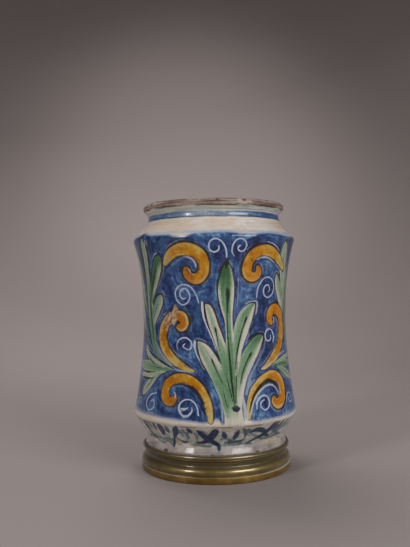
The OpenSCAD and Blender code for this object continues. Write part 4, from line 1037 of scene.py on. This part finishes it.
col = g.mix(g.mul(g.map(hd, 0.0, 2.2, 1.0, 0.0), below, g.map(patchy, 0.35, 0.6, 0.35, 0.85)), col, g.mix(g.map(n_mid, 0.40, 0.60), (0.125, 0.205, 0.255), (0.160, 0.235, 0.205)))
hm = g.map(hd, -0.65, 0.65, 1.0, 0.0)
hb = g.ramp(g.add(g.mul(n_mid, 0.6), g.mul(n_fin, 0.4)), [(0.32, (0.006, 0.012, 0.038)), (0.48, (0.012, 0.030, 0.082)), (0.60, (0.032, 0.072, 0.130)), (0.72, (0.10, 0.16, 0.21))])
hb = g.mix(g.map(HX[1], 0.3, 0.9), hb, g.mix(g.map(n_fin, 0.3, 0.7), (0.010, 0.010, 0.050), (0.062, 0.058, 0.135)))
hb = g.mix(g.mul(g.map(HX[1], 0.25, 0.0), 0.6), hb, g.mix(n_mid, (0.016, 0.040, 0.046), (0.060, 0.110, 0.120)))
col = g.mix(g.mul(hm, below, HX[0], 0.97), col, hb)
line_z = g.add(z_mm, g.mul(wob, 0.6))
col = g.mix(g.mul(g.band(line_z, 43.7, 44.6, 0.35), g.map(patchy, 0.44, 0.56), 0.85), col, (0.17, 0.085, 0.045))
col = g.mix(g.mul(g.band(line_z, 28.0, 28.7, 0.4), g.map(n_mid, 0.44, 0.58), 0.5), col, (0.06, 0.055, 0.05))

# shoulder slope stays white with a haze of blue at its foot; neck has a blue band between pale lines; lip is rubbed brown
nz = g.add(z_mm, g.mul(wob, 0.45))
slope = g.band(z_mm, 193.0, 202.5, 1.2)
peach = g.noise(g.vec("MULTIPLY", P, (1.0, 1.0, 2.2)), 32.0, 3.0, 0.6)
col = g.mix(g.mul(slope, g.map(peach, 0.48, 0.62), 0.55), col, (0.60, 0.45, 0.325))
col = g.mix(g.mul(g.band(nz, 190.4, 192.7, 0.6), g.map(hair, 0.36, 0.56, 0.25, 1.0), g.inv(on_ground), 0.85), col, g.mix(n_mid, (0.24, 0.32, 0.46), (0.44, 0.50, 0.58)))
ring_n = g.noise(g.vec("MULTIPLY", P, (1.0, 1.0, 9.0)), 38.0, 3.0, 0.6)
worn_b = g.map(g.m("ABSOLUTE", g.add(SX[2], 8.0)), 44.0, 12.0)
side_n = g.add(g.mul(n_big, 0.44), g.mul(ring_n, 0.52), g.mul(n_fin, 0.20), -0.105, g.mul(worn_b, 0.085), g.mul(g.map(SX[2], 16.0, 30.0), -0.085))
band_col = g.ramp(side_n, [(0.34, (0.028, 0.074, 0.205)), (0.43, (0.070, 0.132, 0.275)), (0.53, (0.190, 0.262, 0.355)), (0.64, (0.42, 0.485, 0.52))])
under_lip = g.ramp(g.add(g.mul(ring_n, 0.7), g.mul(n_mid, 0.3)), [(0.34, (0.25, 0.315, 0.33)), (0.46, (0.40, 0.44, 0.43)), (0.54, (0.50, 0.50, 0.43)), (0.64, (0.53, 0.55, 0.54))])
under_lip = g.mix(g.mul(g.map(g.noise(P, 36.0, 2.0, 0.5), 0.48, 0.60), 0.7), under_lip, (0.52, 0.49, 0.40))
under_lip = g.mix(g.mul(g.map(g.noise(g.vec("MULTIPLY", P, (1.0, 1.0, 6.0)), 52.0, 3.0, 0.6), 0.51, 0.60), 0.65), under_lip, (0.60, 0.615, 0.60))
col = g.mix(g.map(nz, 207.8, 208.8), col, under_lip)
col = g.mix(g.band(nz, 203.6, 208.3, 0.5), col, band_col)
col = g.mix(g.mul(g.band(nz, 203.5, 204.6, 0.35), g.map(ring_n, 0.36, 0.54), 0.85), col, (0.022, 0.040, 0.085))
col = g.mix(g.mul(g.band(nz, 209.2, 210.0, 0.4), g.map(ring_n, 0.40, 0.58), 0.65), col, (0.11, 0.165, 0.20))
col = g.mix(g.mul(g.band(nz, 202.2, 203.3, 0.4), 0.75), col, (0.64, 0.62, 0.58))
lipz = g.add(z_mm, g.mul(g.sub(n_mid, 0.5), 1.8), g.mul(g.sub(n_fin, 0.5), 1.0))
lip_m = g.map(lipz, 212.0, 212.8)
lip_n = g.add(g.mul(g.noise(g.vec("MULTIPLY", P, (1.0, 1.0, 7.0)), 42.0, 4.0, 0.6), 0.75), g.mul(n_fin, 0.25))
lip_col = g.ramp(lip_n, [(0.30, (0.068, 0.040, 0.030)), (0.40, (0.150, 0.098, 0.076)), (0.49, (0.255, 0.188, 0.152)), (0.58, (0.37, 0.305, 0.245)), (0.68, (0.46, 0.43, 0.37))])
col = g.mix(lip_m, col, lip_col)
lip_line = g.m("MAXIMUM", g.band(lipz, 212.0, 213.0, 0.35), g.m("MAXIMUM", g.band(lipz, 214.9, 215.5, 0.3), g.map(lipz, 216.6, 217.4)))
col = g.mix(g.mul(lip_line, g.map(g.noise(P, 48.0, 3.0, 0.6), 0.34, 0.48), 0.92), col, g.mix(n_fin, (0.024, 0.013, 0.009), (0.080, 0.043, 0.030)))

# inside: plain greyish glaze, stained; hidden foot: bare clay
ins = g.ramp(g.add(g.mul(n_big, 0.55), g.mul(n_mid, 0.3), g.mul(n_fin, 0.15)),
             [(0.30, (0.20, 0.15, 0.10)), (0.44, (0.40, 0.34, 0.26)), (0.58, (0.50, 0.445, 0.36)), (0.74, (0.43, 0.37, 0.28))])
in_m = g.map(X[2], 0.25, 0.9)
col = g.mix(in_m, col, ins)
clay = g.ramp(n_mid, [(0.3, (0.33, 0.20, 0.12)), (0.7, (0.47, 0.32, 0.21))])
chip_m = g.map(g.add(X[1], g.mul(g.sub(n_fin, 0.5), 0.6)), 0.35, 0.6)
hid = g.map(X[2], 1.3, 1.9)
bare = g.m("MAXIMUM", hid, chip_m)
chip_col = g.ramp(n_fin, [(0.3, (0.060, 0.034, 0.022)), (0.6, (0.14, 0.085, 0.055)), (0.8, (0.28, 0.19, 0.13))])
col = g.mix(chip_m, col, chip_col)
col = g.mix(hid, col, clay)

# fine crazing, pin holes and dirt in the glaze
craze = g.voronoi(g.vec("ADD", P, g.vec("SCALE", g.comb(n_fin, n_mid, n_fin), scale=0.003)), 210.0)
craze_m = g.mul(g.map(craze, 0.0, 0.022, 1.0, 0.0), g.map(n_big, 0.45, 0.6))
col = g.mix(g.mul(craze_m, 0.22), col, (0.10, 0.07, 0.05))
speck = g.mul(g.map(g.noise(P, 620.0, 1.0, 0.5), 0.72, 0.78), g.map(n_mid, 0.46, 0.60))
col = g.mix(g.mul(speck, 0.65), col, (0.045, 0.034, 0.03))
# grime in the grooves at neck and ankle, and where the foot meets the collar
grime = g.m("MAXIMUM", g.band(nz, 202.9, 203.9, 0.5), g.band(g.add(z_mm, g.mul(wob, 0.6)), 26.6, 29.2, 1.0))
col = g.mix(g.mul(grime, g.map(n_mid, 0.35, 0.65), 0.35), col, (0.11, 0.085, 0.07))
rim_z = g.add(z_mm, g.mul(wob, 0.7))
col = g.mix(g.mul(g.map(rim_z, 21.3, 22.3, 1.0, 0.0), g.inv(hid), 0.7), col, (0.10, 0.062, 0.045))
g.set("Base Color", col)

matt = g.m("MAXIMUM", g.m("MAXIMUM", g.mul(lip_m, g.inv(in_m), 0.55), bare), g.mul(rub, 0.8))
rough = g.add(0.085, g.mul(n_mid, 0.09), g.mul(g.map(n_fin, 0.5, 0.8), 0.06), g.mul(matt, 0.42))
g.set("Roughness", rough)
g.set("IOR", 1.5)
g.set("Specular IOR Level", 0.40)
h = g.add(g.mul(g.noise(P, 70.0, 2.0, 0.5), 0.55), g.mul(n_fin, 0.05), g.mul(n_tiny, 0.016),
          g.mul(g.m("MAXIMUM", g.m("MAXIMUM", leaf_m, scroll_m), g.m("MAXIMUM", ink_m, pale_m)), 0.04), g.mul(matt, n_tiny, 0.10), g.mul(craze_m, -0.02))
g.set("Normal", g.bump(h, 0.0010, 0.55))
jar.data.materials.append(g.mat)


# ---------------------------------------------------------------- brass mount
def brass(name, deep, mid, bright, metal, rough, coat, tarnish, dirt_and_shade=(), glint_z=()):
    b = Graph(name)
    p = b.pos()
    x, y, z = b.xyz(p)
    rad = b.m("SQRT", b.add(b.mul(x, x), b.mul(y, y)))
    n1, n2, n3 = b.noise(p, 24.0, 4.0, 0.6), b.noise(p, 150.0, 4.0, 0.6), b.noise(p, 900.0, 3.0, 0.6)
    # lathe marks: rings that follow the profile
    prof = b.add(b.mul(z, 1.0), b.mul(rad, 0.7))
    lines = b.noise(b.comb(b.mul(prof, 1.0), b.mul(x, 0.006), b.mul(y, 0.006)), 1500.0, 3.0, 0.7)
    z_mm = b.add(b.mul(z, 1000.0), b.mul(b.sub(n2, 0.5), 0.5))
    r_mm = b.mul(rad, 1000.0)
    dirt_and_shade_mask = 0.0
    for lo, hi, soft, much in dirt_and_shade:   # old wax and dirt left in the grooves, and painted shade in the gap under the jar's foot
        dirt_and_shade_mask = b.m("MAXIMUM", dirt_and_shade_mask, b.mul(b.band(z_mm, lo, hi, soft), much))
    t = b.add(b.mul(n1, 0.55), b.mul(n2, 0.25), b.mul(n3, 0.05), b.mul(lines, 0.15))
    t = b.add(b.mul(b.sub(t, 0.5), 1.5), 0.5)
    col = b.ramp(t, [(0.30, deep), (0.50, mid), (0.70, bright)])
    rust = b.mul(b.map(b.noise(p, 40.0, 3.0, 0.6), 0.54, 0.66), b.map(n2, 0.40, 0.60))
    col = b.mix(b.mul(rust, tarnish), col, (0.175, 0.098, 0.045))
    if dirt_and_shade:
        col = b.mix(b.mul(dirt_and_shade_mask, b.map(n2, 0.3, 0.7, 0.70, 1.0)), col, (0.040, 0.030, 0.013))
    spots = b.map(b.noise(p, 420.0, 3.0, 0.7), 0.60, 0.70)
    col = b.mix(b.mul(spots, tarnish, 0.6), col, (0.070, 0.052, 0.026))
    met = b.map(b.add(b.mul(n2, 0.7), b.mul(spots, 0.3)), 0.30, 1.0, metal, metal * 0.5)
    rgh = b.add(rough, b.mul(n2, 0.08), b.mul(lines, 0.04), b.mul(spots, 0.08))
    if dirt_and_shade:
        met, rgh = b.mul(met, b.inv(b.mul(dirt_and_shade_mask, 0.5))), b.add(rgh, b.mul(dirt_and_shade_mask, 0.15))
    for lo, hi, soft in glint_z:      # painted highlight: a pale line along an edge, strongest at the sides and fading toward the front
        turn = b.m("ABSOLUTE", b.sub(b.m("ARCTAN2", x, b.mul(y, -1.0)), 0.10))
        edge_glint = b.mul(b.band(b.mul(z, 1000.0), lo, hi, soft), b.map(r_mm, PL_R - 1.3, PL_R - 1.0), b.map(turn, 0.30, 0.62, 0.42, 1.0),
                    b.map(n1, 0.40, 0.56, 0.55, 1.0), b.map(n2, 0.30, 0.46, 0.6, 1.0))
        col = b.mix(edge_glint, col, (0.43, 0.385, 0.355))
        met, rgh = b.mul(met, b.inv(edge_glint)), b.add(rgh, b.mul(edge_glint, 0.2))
    b.set("Base Color", col)
    b.set("Metallic", met)
    b.set("Roughness", rgh)
    b.set("Coat Weight", coat)
    b.set("Coat Roughness", 0.07)
    b.set("Coat IOR", 1.5)
    b.set("Normal", b.bump(b.add(b.mul(lines, 0.012), b.mul(n3, 0.004), b.mul(n2, 0.020)), 0.0006, 0.2))
    return b.mat


# dark bands on the collar and moulding: wax and dirt in the hollow and grooves; at the collar's top edge, dirt with
# painted shade of the gap under the jar's foot
brass_dark = brass("brass_dark", (0.118, 0.084, 0.026), (0.205, 0.150, 0.052), (0.330, 0.250, 0.098), 0.74, 0.31, 0.72, 0.50,
                   ((11.4, 15.4, 1.2, 0.9), (15.8, 17.4, 0.5, 0.95), (17.6, 20.2, 0.9, 0.50), (20.3, 22.0, 0.3, 0.95)))
# brass_gold's last argument paints a highlight line along the plinth's top edge
brass_gold = brass("brass_gold", (0.190, 0.112, 0.022), (0.320, 0.200, 0.040), (0.520, 0.360, 0.085), 0.90, 0.32, 0.35, 0.35, (), ((PL_H - 0.42, PL_H + 0.1, 0.10),))

ledge, inner = PL_H + 3, HO_R - 1.7
skirt_r, skirt_z, plate_r, flange_z = inner + 1.3, SEAM_Z - 2, PL_R - 5.2, PL_H - 2


def soften(p, r=0.12, n=3):
    """Rounds each corner of a closed outline a little."""
    p = np.array(p, float)
    out = []
    for i in range(len(p)):
        a, b, c = p[i - 1], p[i], p[(i + 1) % len(p)]
        la, lc = np.hypot(*(a - b)), np.hypot(*(c - b))
        ua, uc = (a - b) / la, (c - b) / lc
        if np.dot(ua, uc) < -0.97:
            out.append(b)
            continue
        k = min(r, 0.4 * la, 0.4 * lc)
        for t in np.linspace(0, 1, n):
            out.append((1 - t) ** 2 * (b + ua * k) + 2 * t * (1 - t) * b + t ** 2 * (b + uc * k))
    return np.array(out)


collar_line = np.vstack([
    [[inner + 0.2, skirt_z], [skirt_r - 0.05, skirt_z], [skirt_r - 0.05, SEAM_Z]],
    curve([HO_R + 1.05, SEAM_Z], [HO_R + 1.3, SEAM_Z + 0.2], [HO_R + 1.55, SEAM_Z + 0.5], [HO_R + 1.6, SEAM_Z + 0.9], 5),
    [[HO_R + 1.6, SEAM_Z + 0.9], [HO_R + 1.35, SEAM_Z + 1.15], [HO_R + 1.4, SEAM_Z + 1.35]],
    curve([CO_R - 0.9, SEAM_Z + 1.6], [CO_R + 0.05, SEAM_Z + 1.75], [CO_R + 0.15, CO_Z - 1.6], [CO_R - 0.35, CO_Z - 0.7], 12),
    curve([CO_R - 0.35, CO_Z - 0.7], [CO_R - 0.6, CO_Z - 0.2], [CO_R - 0.9, CO_Z], [CO_R - 1.2, CO_Z], 6),
    [[CO_R - 1.2, CO_Z], [FOOT_R + 0.4, CO_Z], [FOOT_R + 0.4, CO_Z - 1.2], [inner + 1.1, SEAM_Z - 0.2]]])
mould_line = np.vstack([
    [[inner - 8.5, PL_H], [PL_R - 0.95, PL_H], [PL_R - 0.95, PL_H + 0.3]],
    curve([PL_R - 0.7, PL_H + 0.6], [PL_R + 0.15, PL_H + 1.6], [PL_R + 0.15, PL_H + 4], [PL_R - 1.1, PL_H + 5.4], 14),
    curve([PL_R - 1.1, PL_H + 5.4], [PL_R - 2, PL_H + 6.4], [HO_R, HO_Z - 1.5], [HO_R, HO_Z], 12),
    curve([HO_R, HO_Z], [HO_R, HO_Z + 1.3], [HO_R + 0.5, SEAM_Z - 0.7], [HO_R + 1.05, SEAM_Z], 8),
    [[HO_R + 1.05, SEAM_Z - 0.02], [skirt_r, SEAM_Z - 0.02], [skirt_r, skirt_z], [inner, skirt_z], [inner, ledge], [inner - 8.5, ledge]]])
plinth_line = [[46, FELT_T], [PL_R - 3.7, FELT_T], [PL_R - 3.7, 0.3], [PL_R - 0.6, 0.3], [PL_R, 0.9], [PL_R, PL_H - 0.35],
               [PL_R - 0.75, PL_H], [plate_r + 0.3, PL_H], [plate_r + 0.3, flange_z], [46, flange_z]]
for name, line, node, mat, slot in (("collar_turned", collar_line, "collar_ring", brass_dark, "brass_dark"),
                                    ("moulding_turned", mould_line, "moulding_ring", brass_dark, "brass_dark"),
                                    ("plinth_turned", plinth_line, "plinth_ring", brass_gold, "brass_gold")):
    o = ring(name, soften(line), 256, 0.05, len(name))
    o.data.materials.append(mat)
    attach(o, "root")
    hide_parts(node)

# ---------------------------------------------------------------- hidden pieces
pl = Graph("plaster")
p = pl.pos()
pl.set("Base Color", pl.ramp(pl.noise(p, 120.0, 4.0, 0.6), [(0.3, (0.55, 0.50, 0.42)), (0.7, (0.78, 0.74, 0.66))]))
pl.set("Roughness", pl.map(pl.noise(p, 400.0, 3.0), 0.3, 0.7, 0.75, 0.95))
pl.set("Normal", pl.bump(pl.noise(p, 900.0, 4.0, 0.7), 0.0004, 0.7))

ir = Graph("sheet_iron")
p = ir.pos()
ir.set("Base Color", ir.ramp(ir.noise(p, 90.0, 5.0, 0.65), [(0.3, (0.060, 0.048, 0.042)), (0.52, (0.125, 0.110, 0.100)), (0.66, (0.17, 0.085, 0.045)), (0.8, (0.23, 0.10, 0.045))]))
ir.set("Metallic", ir.map(ir.noise(p, 90.0, 5.0, 0.65), 0.5, 0.66, 0.9, 0.15))
ir.set("Roughness", ir.map(ir.noise(p, 300.0, 3.0), 0.3, 0.7, 0.42, 0.8))
ir.set("Normal", ir.bump(ir.noise(p, 600.0, 4.0, 0.7), 0.0003, 0.6))

screw_brass = brass("screw_brass", (0.20, 0.15, 0.06), (0.36, 0.28, 0.12), (0.5, 0.40, 0.2), 0.9, 0.30, 0.2, 0.5)

ba = Graph("baize")
p = ba.pos()
fib = ba.noise(ba.vec("MULTIPLY", p, (1.0, 1.0, 4.0)), 2200.0, 3.0, 0.7, distort=1.2)
ba.set("Base Color", ba.ramp(ba.add(ba.mul(fib, 0.6), ba.mul(ba.noise(p, 140.0, 3.0), 0.4)), [(0.3, (0.018, 0.055, 0.030)), (0.55, (0.040, 0.115, 0.062)), (0.8, (0.085, 0.19, 0.11))]))
ba.set("Roughness", ba.map(fib, 0.3, 0.7, 0.85, 1.0))
ba.set("Sheen Weight", 0.5)
ba.set("Sheen Roughness", 0.5)
ba.set("Normal", ba.bump(fib, 0.0005, 0.8))


def dress(node, mat):
    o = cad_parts[node]
    o.data.materials.clear()
    o.data.materials.append(mat)


dress("bedding_ring", pl.mat)
dress("base_plate", ir.mat)
dress("base_screws", screw_brass)

# baize disc: cut by hand, slightly uneven at the edge, soft at its rim
nb, rings_b = 200, np.array([0.0, 8, 18, 28, 38, 46, 52, 55.5, 57.2, 57.9, 58.12])
gb = np.random.default_rng(3)
tb = np.linspace(0, 2 * math.pi, nb, endpoint=False)
edge_w = sum(gb.uniform(0.03, 0.09) * np.cos(f * tb + gb.uniform(0, 6.3)) for f in (3, 7, 11, 17, 29))
vb, fb = [], []
for level in (0, 1):
    base = len(vb)
    for k, r in enumerate(rings_b):
        if k == 0:
            vb.append((0.0, 0.0, 0.0 if level == 0 else FELT_T - 0.02))
            continue
        soft = max(0.0, (r - 56.5) / 1.6)
        for i in range(nb):
            rr = r + (edge_w[i] - 0.12) * (r / 58.12) ** 6
            zz = 0.03 * math.sin(r * 0.9 + 3 * tb[i]) + 0.03 if level == 0 else FELT_T - 0.02
            zz = zz + (0.55 * soft ** 2 if level == 0 else -0.25 * soft ** 2)
            vb.append((rr * math.sin(tb[i]), -rr * math.cos(tb[i]), max(0.0, zz)))
    for i in range(nb):
        a = base + 1
        tri = (base, a + i, a + (i + 1) % nb)
        fb.append(tri if level == 0 else tri[::-1])
    for k in range(1, len(rings_b) - 1):
        a, b = base + 1 + (k - 1) * nb, base + 1 + k * nb
        for i in range(nb):
            q = (a + i, b + i, b + (i + 1) % nb, a + (i + 1) % nb)
            fb.append(q if level == 0 else q[::-1])
per = 1 + (len(rings_b) - 1) * nb
a, b = 1 + (len(rings_b) - 2) * nb, per + 1 + (len(rings_b) - 2) * nb
fb += [(a + i, b + i, b + (i + 1) % nb, a + (i + 1) % nb) for i in range(nb)]
bm_mesh = bpy.data.meshes.new("baize_disc")
bm_mesh.from_pydata((np.array(vb) * 0.001).tolist(), [], fb)
bm_mesh.validate()
bm_mesh.polygons.foreach_set("use_smooth", [True] * len(bm_mesh.polygons))
bm_mesh.update()
baize = bpy.data.objects.new("baize_disc", bm_mesh)
scene.collection.objects.link(baize)
baize.data.materials.append(ba.mat)
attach(baize, "root")
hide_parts("felt_pad")

# ---------------------------------------------------------------- stage and light
fl = Graph("studio_paper")
p = fl.pos()
fl.set("Base Color", fl.mix(fl.noise(p, 3.0, 2.0), (0.280, 0.2445, 0.2415), (0.294, 0.258, 0.2545)))
fl.set("Roughness", 0.9)
fl.set("Specular IOR Level", 0.2)
fl.set("Normal", fl.bump(fl.noise(p, 500.0, 3.0), 0.0002, 0.15))
cove = []
for r in (0.0, 0.2, 0.4, 0.6, 0.75):
    cove.append((r, 0.0))
for a in np.radians(np.arange(5, 91, 5)):
    cove.append((0.75 + 0.75 * math.sin(a), 0.75 - 0.75 * math.cos(a)))
cove += [(1.5, 1.1), (1.5, 1.6), (1.5, 2.2)]
nf = 96
vf, ff = [(0.0, 0.0, 0.0)], []
for r, z in cove[1:]:
    vf += [(r * math.cos(2 * math.pi * i / nf), r * math.sin(2 * math.pi * i / nf), z) for i in range(nf)]
ff += [(0, 1 + i, 1 + (i + 1) % nf) for i in range(nf)]
for k in range(len(cove) - 2):
    a, b = 1 + k * nf, 1 + (k + 1) * nf
    ff += [(a + i, b + i, b + (i + 1) % nf, a + (i + 1) % nf) for i in range(nf)]
fm = bpy.data.meshes.new("studio_floor")
fm.from_pydata(vf, [], ff)
fm.polygons.foreach_set("use_smooth", [True] * len(fm.polygons))
fm.update()
floor = bpy.data.objects.new("studio_floor", fm)
scene.collection.objects.link(floor)
floor.data.materials.append(fl.mat)


def area(name, az, el, dist, w, h, watts, colour=(1, 1, 1), aim=(0, 0, 0.11)):
    d = bpy.data.lights.new(name, "AREA")
    d.shape, d.size, d.size_y, d.energy, d.color = "RECTANGLE", w, h, watts, colour
    o = bpy.data.objects.new(name, d)
    scene.collection.objects.link(o)
    a, e = math.radians(az), math.radians(el)
    pos = Vector((math.sin(a) * math.cos(e), -math.cos(a) * math.cos(e), math.sin(e))) * dist + Vector(aim)
    o.location = pos
    o.rotation_euler = (Vector(aim) - pos).to_track_quat("-Z", "Y").to_euler()
    return o


def pool(name, place, aim, watts, angle, colour=(1.0, 0.975, 0.955)):
    """Soft pool of light on the paper behind the object."""
    d = bpy.data.lights.new(name, "SPOT")
    d.energy, d.spot_size, d.spot_blend, d.shadow_soft_size, d.color = watts, math.radians(angle), 1.0, 0.12, colour
    o = bpy.data.objects.new(name, d)
    scene.collection.objects.link(o)
    o.location = place
    o.rotation_euler = (Vector(aim) - Vector(place)).to_track_quat("-Z", "Y").to_euler()


area("light_left", -43, 23, 1.0, 0.18, 0.40, 3.6, (1.0, 0.98, 0.96))
area("light_right", 43, 22, 1.1, 0.62, 0.40, 7.3, (1.0, 0.985, 0.97))
area("light_top", -150, 76, 1.1, 1.7, 1.5, 1.9, (1.0, 0.985, 0.965))
back = area("light_back", -155, 58, 1.2, 0.8, 0.7, 7.6, (1.0, 0.985, 0.965))
back.visible_glossy = False
pool("wall_back", (-0.05, 0.40, 1.25), (-0.20, 1.20, 0.15), 14.0, 82)
pool("wall_high", (-0.05, 0.40, 1.25), (-0.06, 1.40, 0.49), 24.5, 53)
pool("wall_low", (-0.05, 0.40, 1.25), (-0.08, 1.05, 0.03), 4.6, 56)
pool("wall_foot", (-0.05, 0.40, 1.25), (-0.14, 0.53, 0.0), 6.2, 62)
pool("wall_left", (-0.40, 0.0, 1.25), (-1.18, 0.0, 0.08), 7.0, 90)
pool("wall_right", (0.40, 0.0, 1.25), (1.18, 0.0, 0.08), 8.0, 90)
world = bpy.data.worlds.new("studio")
world.use_nodes = True
world.node_tree.nodes["Background"].inputs[0].default_value = (0.20, 0.195, 0.19, 1.0)
world.node_tree.nodes["Background"].inputs[1].default_value = 0.15
scene.world = world
